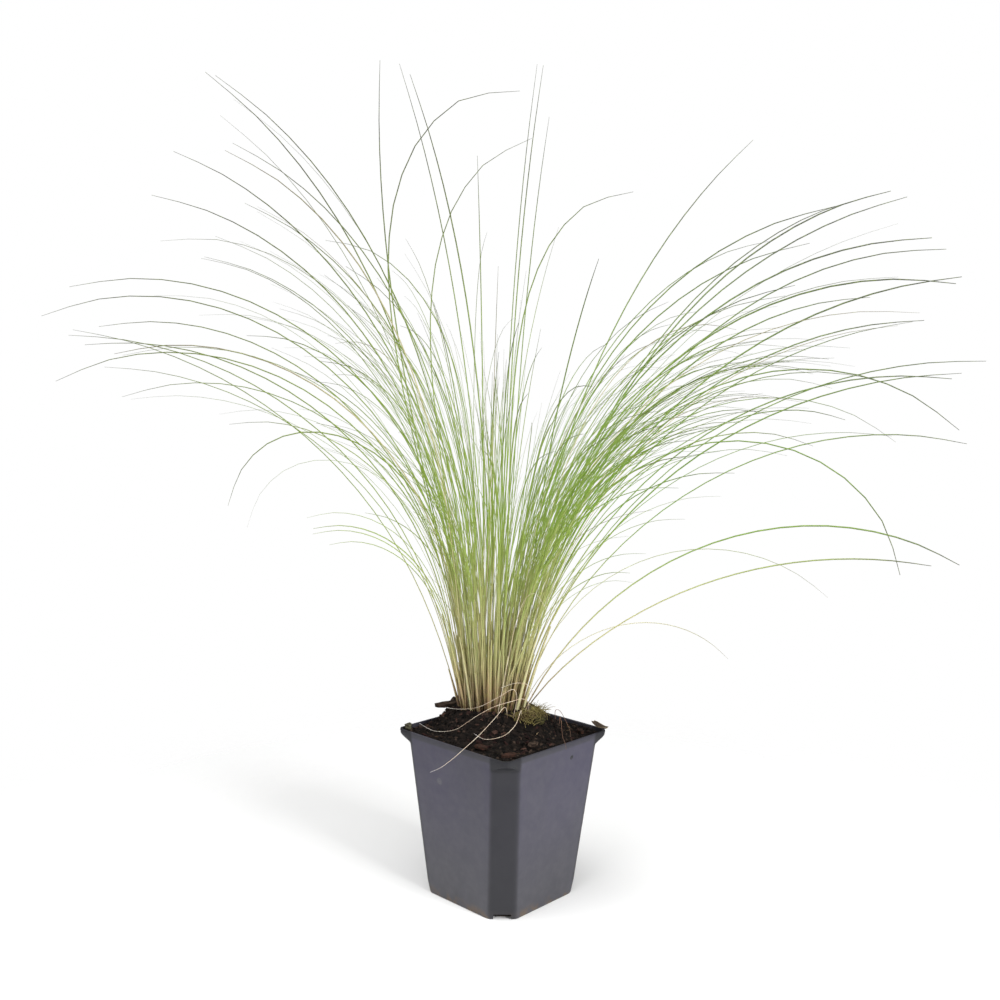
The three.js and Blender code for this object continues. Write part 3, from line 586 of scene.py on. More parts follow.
def makeSoil():
    inset = pot["wall"] + soil["gap"]
    flat = pot["cornerFlat"] - pot["wall"]
    rimFlat = pot["rimCornerFlat"] - pot["wall"] / 2
    flareBottom = pot["height"] - pot["lipHeight"] - pot["flareHeight"]
    low, level, soft = pot["floor"] + soil["gap"], soil["edge"] - soil["edgeDrop"], soil["softness"]
    flared = (level - flareBottom - inset) / (pot["flareHeight"] + soil["gap"])
    rings = [potRing(low, inset, flat + 2 * pot["footTurnIn"] * (1 - low / pot["footHeight"]), soft),
             potRing(pot["footHeight"], inset, flat, soft), potRing(flareBottom + inset, inset, flat, soft)]
    edge = potRing(level, inset, flat + (rimFlat - flat) * flared, soil["edgeSoftness"])
    fromEdge = [0.0] * len(edge) * len(rings)
    for k in range(soil["topRings"]):  # rings that close in over the mound
        share = (1 - k / soil["topRings"]) ** 0.9
        fromEdge += [(1 - share) * (halfAt(soil["edge"]) - inset) * mm] * len(edge)
        ring = []
        for point in edge:
            x, y = point.x * share, point.y * share
            ring.append(Vector((x, y, roughTop(*turned(x, y, -fanTurn)) if k else level)))
        rings.append(ring)
    piece = addSkin("soilFine", [[p * mm for p in ring] for ring in rings])
    setPointValues(piece, "tone", [soil["tone"]] * len(piece.data.vertices))
    setPointValues(piece, "fromEdge", fromEdge)
    dress(piece, earthMaterial("peat", *soil["colours"]))
    pieces = [piece]
    for index, (name, look) in enumerate(strewn.items()):
        bits = piece.copy()
        bits.name, bits.data = name, piece.data.copy()
        bpy.context.scene.collection.objects.link(bits)
        paint = earthMaterial(name, *look["colours"])
        useTree(bits, soilCrumbs, seed=soil["seed"] + index, material=paint, **look)
        pieces.append(bits)
    for each in pieces:
        finishPiece(each, "soil", "soil")
    return pieces


soilPieces = makeSoil()
print("soil:", [len(p.data.polygons) for p in soilPieces], "faces")

bark = {
    "cuts": 4, "roughness": 0.5, "grain": 420, "sharpAngle": 35,
    "colours": ((0.012, 0.008, 0.006), (0.045, 0.03, 0.022), (0.11, 0.075, 0.055)),
    "tinted": [((3, 4, 6), (0.05, 0.022, 0.015)), ((7,), (0.12, 0.115, 0.07))],  # which, and how
}


def makeBark(number):  # a chip with the solid chip's form, its skin broken up
    node = f"bark_{number}"
    work = bmesh.new()
    work.from_mesh(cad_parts[node].data)
    bmesh.ops.remove_doubles(work, verts=work.verts, dist=1e-5)
    centre = sum((v.co for v in work.verts), Vector()) / len(work.verts)
    bmesh.ops.subdivide_edges(work, edges=work.edges, cuts=bark["cuts"], use_grid_fill=True)
    bmesh.ops.triangulate(work, faces=work.faces)
    for vert in work.verts:
        spot = Vector((vert.co.x * 500, vert.co.y * 500, vert.co.z * 1400 + number))
        ridges = noise.fractal(spot, 0.8, 2, 3)
        vert.co += (centre - vert.co).normalized() * bark["roughness"] * mm * (0.5 + 0.5 * ridges)
    piece = addWorked(f"barkChip{number}", work)
    dark, middle, light = bark["colours"]
    for numbers, tint in bark["tinted"]:
        if number in numbers:
            middle = light = tint
    setPointValues(piece, "tone", [0.75 + 0.2 * noise.noise(v.co * 600) for v in piece.data.vertices])
    dress(piece, earthMaterial(f"bark{number}", dark, middle, light, bark["grain"]), bark["sharpAngle"])
    finishPiece(piece, "bark", node)
    return piece


barkPieces = [makeBark(number) for number in range(1, 9)]

scrap = {
    "x": 58.6, "y": -3, "z": 101.8, "length": 15, "width": 5, "thick": 0.8, "turn": -62, "curl": 0.55,
    "rows": 28, "columns": 10, "rise": 3.4, "ripple": 0.18, "sharpAngle": 60,
    "colour": (0.03, 0.02, 0.014), "paler": (0.055, 0.036, 0.024), "edgeColour": (0.3, 0.24, 0.15),
}


def makeScrap():
    rows, columns = scrap["rows"], scrap["columns"]
    rings, shares = [], []
    for i in range(rows + 1):
        t = i / rows - 0.5
        rise = scrap["rise"] * scrap["curl"] * (2 * t) ** 2
        half = scrap["width"] / 2 * (1 - 1.3 * t * t) * (1 - 0.25 * smooth(abs(t), 0.36, 0.5))
        under, over, row = [], [], []
        for j in range(columns + 1):
            across = 2 * j / columns - 1
            lift = rise + half * scrap["curl"] * abs(across) ** 1.5
            ripple = scrap["ripple"] * math.sin(9 * t + 2.5 * across)
            x, y = turned(t * scrap["length"], across * half, math.radians(scrap["turn"]))
            thin = 0.22 + 0.12 * (1 - across * across)
            middle = scrap["z"] + lift + scrap["thick"] / 2 + ripple * 0.6
            under.append(fromFan(scrap["x"] + x, scrap["y"] + y, middle - thin / 2))
            over.append(fromFan(scrap["x"] + x, scrap["y"] + y, middle + thin / 2))
            row.append(max(abs(across) ** 3, (abs(t) * 2) ** 6))
        rings.append(under + over[::-1])
        shares += row + row[::-1]
    piece = addSkin("leafScrapFine", rings)
    setPointValues(piece, "share", shares)
    paint = dryMaterial("deadLeaf", scrap["colour"], scrap["paler"], scrap["edgeColour"])
    dress(piece, paint, scrap["sharpAngle"])
    finishPiece(piece, "dead_leaf", "leaf_scrap")
    return piece


scrapPiece = makeScrap()
print("bark and scrap:", sum(len(p.data.polygons) for p in [*barkPieces, scrapPiece]), "faces")

moss = {
    "x": 18.6, "y": -15, "halfX": 7, "halfY": 4.8, "halfZ": 4.4, "sunk": 0.5, "blades": 140, "creeping": 90,
    "creepX": (1, 13), "creepY": (0.5, 6), "bladeLength": 12, "bladeHalfWidth": 0.24, "bladeSteps": 6,
    "facing": -55, "spread": 200, "pointsAlong": 10, "sides": 3, "grain": 900, "seed": 23,
    "colours": ((0.014, 0.013, 0.006), (0.04, 0.034, 0.014), (0.09, 0.08, 0.028)),
    "blade": (0.26, 0.22, 0.075), "bladeBrown": (0.12, 0.08, 0.04),
}


def mossBlade(x, y, z, tilt, draw):  # curls over on its way to the tip
    steps = moss["bladeSteps"]
    heading = math.radians(moss["facing"] + moss["spread"] * (draw.random() - 0.5))
    tilt += draw.uniform(-0.1, 0.4)
    curl, turn = draw.uniform(0.1, 0.65), draw.uniform(-0.6, 0.6)
    step = moss["bladeLength"] * draw.uniform(0.3, 1) ** 1.3 / steps
    points = []
    for _ in range(steps + 1):
        points.append(fromFan(x, y, z))
        x, y, z = walked(x, y, z, heading, tilt, step)
        tilt, heading = tilt + curl * 0.6, heading + turn * 0.6
    widths = [moss["bladeHalfWidth"] * mm * (1 - 0.1 * k) for k in range(steps + 1)]
    return {"points": points, "halfWidths": widths, "tone": draw.random()}


def makeMoss():
    draw = random.Random(moss["seed"])
    level = soilTop(moss["x"], moss["y"]) - moss["sunk"]
    lump = bmesh.new()
    bmesh.ops.create_icosphere(lump, subdivisions=4, radius=1)
    for vert in lump.verts:
        rough = 0.86 + 0.14 * noise.fractal(vert.co * 3.5, 0.8, 2, 4)
        x, y, z = vert.co.x * moss["halfX"], vert.co.y * moss["halfY"], vert.co.z * moss["halfZ"]
        vert.co = fromFan(moss["x"] + x * rough, moss["y"] + y * rough, level + z * rough)
    piece = addWorked("mossFine", lump)
    setPointValues(piece, "tone", [0.8 + 0.3 * noise.noise(v.co * 900) for v in piece.data.vertices])
    dress(piece, earthMaterial("mossLump", *moss["colours"], moss["grain"]))
    lines = []
    for i in range(moss["blades"] + moss["creeping"]):
        out = math.sqrt(min((i + 0.5) / moss["blades"], 1)) * 0.8
        x = moss["x"] + out * moss["halfX"] * math.cos(i * spiralStep)
        y = moss["y"] + out * moss["halfY"] * math.sin(i * spiralStep)
        z = level + moss["halfZ"] * math.sqrt(1 - out * out) * 0.75
        if i >= moss["blades"]:  # these creep over the soil towards the shoots
            x, y = moss["x"] - draw.uniform(*moss["creepX"]), moss["y"] - draw.uniform(*moss["creepY"])
            z = roughTop(x, y)
        lines.append(mossBlade(x, y, z, 0.5 * out, draw))
    blades = guideLines("mossBlades", lines)
    paint = dryMaterial("mossBlade", moss["blade"], moss["bladeBrown"], moss["blade"])
    useTree(blades, leafSweep, pointsAlong=moss["pointsAlong"], sides=moss["sides"], material=paint)
    finishPiece(piece, "moss", "moss")
    finishPiece(blades, "moss", "moss")
    return [piece, blades]


mossPieces = makeMoss()
print("moss:", sum(len(p.data.polygons) for p in mossPieces), "faces")

# dry leaves that hang and lie over the soil
strand = {
    "halfWidth": 0.17, "tipShare": 0.45, "brownOnes": (5, 6), "pointsAlong": 70, "sides": 6,
    "pale": (0.8, 0.7, 0.55), "dark": (0.58, 0.42, 0.3), "tip": (0.75, 0.71, 0.68),
    "brown": (0.22, 0.12, 0.08), "darkBrown": (0.12, 0.065, 0.045), "foot": (0.1, 0.055, 0.035),
    "lines": [  # corners in the clump's own frame
        [(6, -20, 105), (6, -20.2, 114), (7.5, -22.5, 125), (5, -24.6, 131), (-4, -25.5, 126),
         (-15, -22.5, 119.5), (-26, -15, 116), (-35, -7, 114.6)],
        [(14, -18.4, 105), (14, -18.8, 114), (14.6, -21.5, 121.5), (11, -24.5, 125.4), (4.3, -27, 124.4),
         (-5.5, -28.3, 121.6), (-14, -27.5, 116.8), (-20, -25, 112), (-29, -20.5, 105), (-41, -12, 101.6),
         (-51, 3, 101.6)],
        [(2, -19.5, 105), (2, -19.8, 114), (0.5, -22, 119.5), (-5, -27, 114.5), (-14, -36, 107),
         (-21, -43.5, 102.6), (-29, -44.5, 95.5), (-36, -42.5, 89.5), (-42, -39.5, 85.8)],
        [(10.4, -19.4, 105), (10.4, -19.6, 114), (10, -22.5, 117.6), (7, -29, 111.5), (1.5, -34, 107),
         (-5, -36.5, 105.2), (-11.5, -36.5, 104.8), (-17, -32, 106.4)],
        [(34, -5, 105), (34, -5.2, 109.5), (34.6, -8, 108.5), (34.8, -15, 104.5), (34.8, -24, 102.6),
         (35.5, -31, 102.2), (36.2, -36, 99)],
        [(32, 4, 105), (32, 4.2, 110.5), (35, 4, 110), (38.5, -3, 105), (40, -12, 102.4), (39.5, -21, 102)],
        [(12.8, -15.6, 105), (12.8, -15.9, 115), (16.5, -20.5, 127), (14, -22.5, 133), (7, -23.5, 134.5),
         (-2, -23.5, 131.5)],
        [(-3.5, -19.6, 105), (-3.5, -19.9, 114), (1.5, -23, 145), (6, -25, 170), (11, -25.5, 184),
         (16.5, -26, 188), (22, -26, 181.5), (27, -26.5, 171)],
    ],
}


def makeStrand(number, corners):
    count = len(corners)
    shares = [i / (count - 1) for i in range(count)]
    widths = [strand["halfWidth"] * mm * (1 - (1 - strand["tipShare"]) * s ** 1.5) for s in shares]
    line = {"points": [fromFan(*c) for c in corners], "halfWidths": widths, "tone": 0.5, "shares": shares}
    piece = guideLines(f"dryLeaf{number}", [line])
    paint = brownLeafPaint if number in strand["brownOnes"] else dryLeafPaint
    useTree(piece, leafSweep, pointsAlong=strand["pointsAlong"], sides=strand["sides"], material=paint)
    finishPiece(piece, "leaf_dry", f"dry_leaf_{number}")
    return piece


dryLeafPaint = dryMaterial("dryLeaf", strand["pale"], strand["dark"], strand["tip"], strand["foot"])
brownLeafPaint = dryMaterial("brownLeaf", strand["brown"], strand["darkBrown"])
strandPieces = [makeStrand(number, corners) for number, corners in enumerate(strand["lines"], 1)]
print("dry leaves:", sum(len(p.data.polygons) for p in strandPieces), "faces")

# grass: a crown of shoots, and leaves that follow the solids' own leaves one for one
grass = {
    "centreX": -4, "crownHalfX": 21.5, "crownHalfY": 16, "rootZ": 109.5, "rootReach": 0.88, "rootWidth": 0.95,
    "heartTop": 168, "tuftLevel": 185, "bunchGap": 0.8, "leaves": 225, "tries": 40, "nudge": 16,
    "leafRoom": 0.9, "bunchRoom": 1.5, "strandRoom": 2.6, "courseSteps": 60, "markedSegments": 8,
    "reachLeft": 250, "reachRight": 272, "reachDeep": 165, "reachUp": 470, "markedSeed": 5, "seed": 11,
    "footShift": 3, "settledOver": (112, 250), "margin": 0.6,
    "guidePoints": 13, "pointsAlong": 24, "sides": 4,
    "leafHalfWidth": ((0.15, 0.51), (0.17, 0.6)), "markedHalfWidth": (0.36, 0.58), "mostlyFine": 2.2,
    "lowWidth": 0.7, "narrowing": 0.62, "boldNarrowing": 0.3, "boldBeyond": 170, "dryShare": 0.05,
    "fallenBelow": 200, "fallenWidth": 0.55, "fallenDryness": 0.45,
    "twins": (0.6, 0.8), "markedTwins": 0.8, "farOut": (150, 210), "twinApart": 0.9, "twinLean": 1.3,
    "twinHeading": 7, "twinBend": 0.05, "twinLength": (0.84, 1),
    "roughness": 0.42, "specular": 0.45, "translucence": 0.25,
    # heights and reaches in metres over which the colours change
    "footBrownAndShadeOver": (0.125, 0.1125), "tanOver": (0.152, 0.116), "sheathBrownOver": (0.19, 0.14),
    "greenFrom": 0.135, "greenTo": 0.23, "duller": (0.1, 0.24), "fading": (0.15, 0.25), "outer": (0.21, 0.36),
    "tipFrom": 0.76,  # share of a leaf's length
    "straw": (0.62, 0.58, 0.26), "paleStraw": (0.78, 0.72, 0.42), "tan": (0.42, 0.24, 0.15),
    # the foot's dark brown is partly painted shade at the foot of the tuft
    "footBrownAndShade": (0.13, 0.062, 0.04), "brownSheath": (0.24, 0.15, 0.075),
    "green": (0.33, 0.49, 0.06), "paleGreen": (0.47, 0.6, 0.15), "deepGreen": (0.19, 0.42, 0.035),
    "dull": (0.17, 0.22, 0.07), "tip": (0.056, 0.055, 0.046), "dryTip": (0.2, 0.17, 0.11),
}

# short sheaths round the foot of the tuft, and leaves and sheaths in the parting between the two bunches
tuftFoot = {
    "sheaths": 74, "length": (24, 62), "halfWidth": (0.75, 1.15), "lean": (15, 9), "bend": 4, "power": 1.5,
    "narrowing": 0.62, "dryShare": 0.18, "guidePoints": 6, "middleSheaths": 13, "middleSpread": 0.95,
    "middleLeaves": 22, "middleX": (-2.6, 1.0), "middleY": 13, "middleLean": 3.5, "middleBend": 22,
    "middlePower": 2, "middleLength": (90, 300), "seed": 3,
}

# how the drawn leaves grow on either side of the parting: lean, bend and longest are each a start and
# what is added towards the end of the crown, power is a lowest and a highest
habits = {
    "parting": -0.04, "unevenLeanX": 4.6, "unevenLeanY": 2.8, "unevenHeading": 16, "leanDeep": 9.5,
    "mostlyLong": 0.48, "lowOutside": 0.75, "lowLean": (5, 15), "lowLength": (0.7, 0.95),
    "right": {"side": 1, "lean": (3.8, 1.3), "bend": (69, 21), "uneven": 0.16, "power": (1.63, 2.16),
              "longest": (162, 194), "shortest": 0.72, "low": 0.05},
    "left": {"side": -1, "lean": (2, 4.3), "bend": (28, 69), "uneven": 0.1, "power": (1.92, 2.39),
             "longest": (192, 201), "shortest": 0.24, "low": 0.02},
}
partingX = grass["centreX"] + habits["parting"] * grass["rootReach"] * grass["crownHalfX"]

# leaves that stand out of the clump: place in the crown from -1 to 1, then heading, lean, bend, power,
# length and sway; a heading of 0 is along the fan to the right, 180 to the left
markedLeaves = [
    (0.80, -0.20, -6, 9.1, 82, 1.6, 402, 4), (0.85, 0.10, 8, 4.1, 84, 1.05, 376, -6),
    (0.75, 0.30, 12, 7.1, 70, 1.35, 438, 8), (0.60, -0.35, -14, 2.1, 80, 1.8, 374, -6),
    (0.40, 0.40, 16, 7.1, 42, 1.5, 398, 6), (0.98, -0.10, -10, 25.1, 95, 1.2, 302, 8),
    (1.00, 0.05, 6, 33.1, 66, 0.8, 280, -6), (0.90, -0.35, -12, 0.1, 170, 1.5, 356, -10),
    (0.85, 0.40, 20, 7.1, 98, 1.1, 350, 10), (0.95, -0.25, -14, 9.1, 122, 1.2, 236, -8),
    (0.97, 0.22, 16, 17.1, 118, 0.9, 168, 0),
    (0.72, -0.15, -5, 1, 98, 1.3, 408, 2), (0.66, 0.15, 5, 2, 86, 1.25, 420, -4),
    (0.55, 0.05, 3, 3, 72, 1.15, 420, 4), (0.90, -0.25, -8, 9, 82, 1, 372, 5),
    (0.88, 0.20, 9, 8, 88, 1, 372, -6), (0.92, -0.05, 2, 12, 90, 0.95, 352, 6),
    (0.78, 0.35, 13, 3, 130, 1.4, 402, -8), (0.50, 0.30, 12, 2, 78, 1.7, 372, 4),
    (0.82, 0.05, -6, 6, 78, 1.1, 392, 4),
    (-0.85, -0.10, 184, 3.9, 110, 1.5, 408, -6), (-0.80, 0.25, 170, 4.9, 76, 1.7, 398, 8),
    (-0.60, -0.25, 190, 8.9, 46, 2.2, 412, -6), (-0.55, 0.20, 174, 5.9, 52, 2.0, 424, 6),
    (-0.75, -0.35, 192, 6.9, 62, 2.6, 374, -8), (-0.98, 0.05, 178, 14.9, 68, 1.2, 345, 8),
    (-0.80, 0.45, 164, 3.9, 165, 1.9, 312, -12), (-0.88, 0.30, 168, 5.9, 96, 1.4, 380, 10),
    (-0.92, -0.30, 194, 10.9, 80, 1.3, 350, -10),
    (-0.70, 0.10, 176, 2, 64, 1.9, 392, -4), (-0.82, -0.30, 188, 2, 104, 1.5, 398, 6),
    (-0.66, 0.35, 170, 4, 66, 1.5, 418, -5), (-0.90, 0.12, 177, 3, 104, 1.45, 350, 6),
    (-0.95, -0.10, 186, 6, 92, 1.3, 350, -6),
    (-0.35, 0.25, 172, 15.9, -18, 2.0, 392, 0), (-0.12, -0.30, 186, 3.9, 15, 2.0, 384, 0),
    (-0.08, 0.40, 176, 1.9, 19, 2.0, 384, 0), (-0.45, 0.05, 180, 14.9, -118, 5.0, 418, 0),
    (-0.40, -0.30, 184, 0.9, 2, 2.0, 330, 0), (0.06, 0.10, 6, 0.1, 7, 2.0, 384, 0),
    (0.12, -0.45, -8, 0.1, 8, 2.0, 386, 0), (0.22, 0.30, 10, 1.1, 7, 2.0, 356, 0),
    (-0.60, 0.50, 4, -3.9, 28, 1.5, 348, 0), (0.26, -0.15, -6, 0.1, 95, 6.0, 342, 0),
    (-0.50, -0.45, 186, 9.9, -90, 5.0, 366, 0), (-0.54, 0.66, 176, 1.9, 90, 4.0, 326, 0),
    (0.10, -0.92, 282, 14, 62, 1.5, 300, 8), (-0.20, -0.88, 254, 12, 70, 1.7, 330, -8),
    (0.45, -0.80, 306, 12, 74, 1.6, 340, 8), (0.05, 0.92, 84, 15, 60, 1.5, 310, -8),
    (-0.25, 0.90, 108, 12, 72, 1.7, 335, 8), (0.42, 0.82, 58, 13, 70, 1.6, 345, -8),
]


class Draws:  # the same draws as the solids' leaves are made with
    def __init__(self, seed):
        self.state = seed

    def next(self):
        self.state = (self.state * 1664525 + 1013904223) % 4294967296
        return self.state / 4294967296

    def between(self, low, high):
        return low + (high - low) * self.next()


# the long bark chip and the moss, which leaves keep clear of too
keptClear = [(((-43.45, 6.5, 113), (-24.95, 6.5, 113)), 3), (((20.2, -15, 116), (20.2, -15, 107.2)), 6.8)]


def bunchOf(u):
    return 0 if u < habits["parting"] * grass["rootReach"] else 1


def leafCourse(leaf):  # leans over by bend degrees on its way to the tip; power says how late it does so
    steps = grass["courseSteps"]
    x, y, z = leaf["x"], leaf["y"], grass["rootZ"]
    step = leaf["length"] / steps
    course = []
    for k in range(steps + 1):
        course.append((x, y, z))
        s = (k + 0.5) / steps
        tilt = math.radians(leaf["lean"] + leaf["bend"] * s ** leaf["power"])
        heading = math.radians(leaf["heading"] + leaf["sway"] * s * s)
        x, y, z = walked(x, y, z, heading, tilt, step)
    return course


def coarsePoints(leaf, course):  # the points that the solid leaf has
    stops = set()
    for k in range(leaf["segments"] + 1):
        share = k / leaf["segments"]
        stops.add(int(grass["courseSteps"] * (0.5 * share + 0.5 * math.sqrt(share)) + 0.5))
    return np.array([course[k] for k in sorted(stops)])


def rootLeaf(leaf, u, v):  # roots keep off the gaps between the bunches
    across = u * grass["rootReach"]
    bunch = bunchOf(across)
    keepOff = (grass["bunchGap"] / 2 + grass["rootWidth"]) / grass["crownHalfX"]
    edge = habits["parting"] * grass["rootReach"]
    low, high = (-1 + keepOff, edge - keepOff) if bunch == 0 else (edge + keepOff, 1 - keepOff)
    leaf["bunch"] = bunch
    leaf["x"] = grass["centreX"] + min(max(across, low), high) * grass["crownHalfX"]
    leaf["y"] = v * grass["rootReach"] * grass["crownHalfY"]
    return leaf


def stretchesAbove(points, level):  # the part of a leaf's stretches above a level
    stretches = []
    for a, b in zip(points[:-1], points[1:]):
        if max(a[2], b[2]) > level:
            low = a + (b - a) * (level - a[2]) / (b[2] - a[2]) if a[2] < level else a
            high = b + (a - b) * (level - b[2]) / (a[2] - b[2]) if b[2] < level else b
            stretches.append((low, high))
    return np.array(stretches).reshape(-1, 2, 3)


def areClear(own, others, rooms):
    a0, a1 = own[:, None, 0], own[:, None, 1]
    b0, b1 = others[None, :, 0], others[None, :, 1]
    alongA, alongB, between = a1 - a0, b1 - b0, a0 - b0
    aa, bb, ab = (alongA ** 2).sum(-1), (alongB ** 2).sum(-1), (alongA * alongB).sum(-1)
    fa, fb = (alongA * between).sum(-1), (alongB * between).sum(-1)
    spread = aa * bb - ab * ab
    s = np.where(spread > 1e-9, np.clip((ab * fb - bb * fa) / np.maximum(spread, 1e-9), 0, 1), 0)
    t = np.clip((ab * s + fb) / bb, 0, 1)
    s = np.clip((ab * t - fa) / aa, 0, 1)
    return (np.linalg.norm(between + alongA * s[..., None] - alongB * t[..., None], axis=-1) >= rooms).all()


class Thicket:  # all leaves so far, to keep new ones clear: in the tuft only of the other bunch
    def __init__(self):
        empty = np.empty((0, 2, 3))
        self.whole = {-1: empty, 0: empty, 1: empty}
        self.outside = {0: empty, 1: empty}
        self.rooms = np.empty(0)

    def addThing(self, points, room):
        stretches = stretchesAbove(points, 0)
        self.whole[-1] = np.concatenate([self.whole[-1], stretches])
        self.rooms = np.append(self.rooms, [room] * len(stretches))

    def addLeaf(self, points, bunch):
        whole, outside = stretchesAbove(points, 0), stretchesAbove(points, grass["tuftLevel"])
        self.whole[bunch] = np.concatenate([self.whole[bunch], whole])
        self.outside[bunch] = np.concatenate([self.outside[bunch], outside])

    def isClear(self, points, bunch):
        whole, outside = stretchesAbove(points, 0), stretchesAbove(points, grass["tuftLevel"])
        return (areClear(whole, self.whole[-1], self.rooms)
                and areClear(whole, self.whole[1 - bunch], grass["bunchRoom"])
                and areClear(outside, self.outside[bunch], grass["leafRoom"]))


def isOnOwnSide(points, bunch):  # down beside the hearts of the two bunches
    root, after = points[0], points[1]
    share = min((grass["heartTop"] - root[2]) / (after[2] - root[2]), 1)
    beyond = root[0] + (after[0] - root[0]) * share - partingX
    return (beyond if bunch else -beyond) > grass["rootWidth"]


def leaning(x, y):  # degrees along the fan and across it, to a lean and its heading
    return {"lean": math.hypot(x, y), "heading": math.degrees(math.atan2(y, x))}


def drawLeaf(u, v, draw):  # the further out along the fan, the more it leans, arches and reaches
    away = abs(u)
    habit = habits["right"] if u > habits["parting"] else habits["left"]
    (lean, leanMore), (bend, bendMore) = habit["lean"], habit["bend"]
    longest, longestMore = habit["longest"]
    leanX = habit["side"] * (lean + leanMore * away)
    leanX += draw.between(-habits["unevenLeanX"], habits["unevenLeanX"])
    leanY = habits["leanDeep"] * v + draw.between(-habits["unevenLeanY"], habits["unevenLeanY"])
    leaf = leaning(leanX, leanY)
    leaf["sway"] = draw.between(-habits["unevenHeading"], habits["unevenHeading"])
    leaf["bend"] = (bend + bendMore * away) * draw.between(1 - habit["uneven"], 1 + habit["uneven"])
    leaf["bend"] *= min(1, draw.between(0.15, 1) + 1.4 * away)
    leaf["power"] = draw.between(*habit["power"])
    leaf["length"] = longest + longestMore * away ** 0.6
    leaf["length"] *= habit["shortest"] + (1 - habit["shortest"]) * draw.next() ** habits["mostlyLong"]
    if math.hypot(u, v) > habits["lowOutside"] and draw.next() < habit["low"]:
        leaf["lean"] += draw.between(*habits["lowLean"])
        leaf["length"] *= draw.between(*habits["lowLength"])
    leaf["segments"] = 4 if leaf["bend"] < 30 else 5
    return leaf


def trimmedCourse(leaf):  # shortened until its tip is within the clump's reach
    while True:
        course = leafCourse(leaf)
        x, y, z = course[-1]
        inReach = -grass["reachLeft"] < x < grass["reachRight"] and abs(y) < grass["reachDeep"]
        if inReach and z < grass["reachUp"]:
            return course
        leaf["length"] *= 0.95


def growLeaves():
    thicket = Thicket()
    for corners in strand["lines"]:
        thicket.addThing(np.array(corners, float), grass["strandRoom"])
    for points, room in keptClear:
        thicket.addThing(np.array(points, float), room)
    grown = []

    def tryLeaf(leaf, course):
        points = coarsePoints(leaf, course)
        if not (isOnOwnSide(points, leaf["bunch"]) and thicket.isClear(points, leaf["bunch"])):
            return False
        thicket.addLeaf(points, leaf["bunch"])
        grown.append((leaf, course))
        return True

    def growWhereClear(leaf, courseOf, draw):  # tried again with its heading nudged
        heading, nudge = leaf["heading"], grass["nudge"]
        for _ in range(grass["tries"]):
            if tryLeaf(leaf, courseOf(leaf)):
                break
            leaf["heading"] = heading + draw.between(-nudge, nudge)

    markedDraw = Draws(grass["markedSeed"])
    for u, v, *form in markedLeaves:
        leaf = dict(zip(("heading", "lean", "bend", "power", "length", "sway"), form))
        leaf["segments"] = grass["markedSegments"]
        growWhereClear(rootLeaf(leaf, u, v), leafCourse, markedDraw)
    draw = Draws(grass["seed"])
    for i in range(grass["leaves"]):
        u, v = spiral(i, grass["leaves"], goldenAngle)
        growWhereClear(rootLeaf(drawLeaf(u, v, draw), u, v), trimmedCourse, draw)
    return grown


def within(points):
    room = grass["margin"] * mm
    return all(cadLow[k] + room < p[k] < cadHigh[k] - room for p in points for k in range(3))


def settled(x, y, z):  # the feet stand a little further left than the leaves above them
    return fromFan(x - grass["footShift"] * (1 - smooth(z, *grass["settledOver"])), y, z)


def guidePoints(leaf, count):
    course = leafCourse(leaf)
    return [settled(*course[round(grass["courseSteps"] * k / (count - 1))]) for k in range(count)]


def leafLine(leaf, draw, half, narrowing=grass["narrowing"]):  # shortened until it stays in the part's room
    count = grass["guidePoints"]
    points = guidePoints(leaf, count)
    while not within(points):
        leaf["length"] *= 0.985
        points = guidePoints(leaf, count)
    shares = [k / (count - 1) for k in range(count)]
    widths = []
    for s in shares:
        swell = grass["lowWidth"] + (1 - grass["lowWidth"]) * smooth(s, 0.3, 0.85)
        widths.append(half * swell * (1 - narrowing * s ** 2.2) * (1 - 0.5 * smooth(s, 0.88, 1)) * mm)
    tone = draw.random()
    if leaf.get("segments") == grass["markedSegments"]:  # the leaves that stand out are a deeper green
        tone = 0.2 + 0.25 * tone
    return {"points": points, "halfWidths": widths, "shares": shares, "tone": tone,
            "dry": 1.0 if draw.random() < grass["dryShare"] else 0.0}


def drawWidth(bunch, draw):
    fine, bold = grass["leafHalfWidth"][bunch]
    return fine + (bold - fine) * draw.random() ** grass["mostlyFine"]


def growTwins(leaf, howMany, draw):  # finer leaves of the same shoot
    apart = grass["twinApart"]
    lines = []
    for _ in range(howMany):
        twin = dict(leaf)
        twin["x"] += draw.uniform(-apart, apart)
        twin["y"] += draw.uniform(-apart, apart)
        twin["lean"] += draw.uniform(-1, 1) * grass["twinLean"]
        twin["heading"] += draw.uniform(-1, 1) * grass["twinHeading"]
        twin["bend"] *= 1 + draw.uniform(-1, 1) * grass["twinBend"]
        twin["length"] *= draw.uniform(*grass["twinLength"])
        lines.append(leafLine(twin, draw, drawWidth(leaf["bunch"], draw)))
    return lines


def growMiddleLeaf(i, draw):  # upright, in a row from front to back
    leaf = {"x": grass["centreX"] + draw.uniform(*tuftFoot["middleX"]),
            "y": tuftFoot["middleY"] * (2 * i / (tuftFoot["middleLeaves"] - 1) - 1),
            "lean": draw.uniform(0, tuftFoot["middleLean"]), "heading": draw.uniform(0, 360), "sway": 0,
            "bend": draw.uniform(0, tuftFoot["middleBend"]), "power": tuftFoot["middlePower"],
            "length": draw.uniform(*tuftFoot["middleLength"])}
    return leafLine(leaf, draw, drawWidth(0, draw))


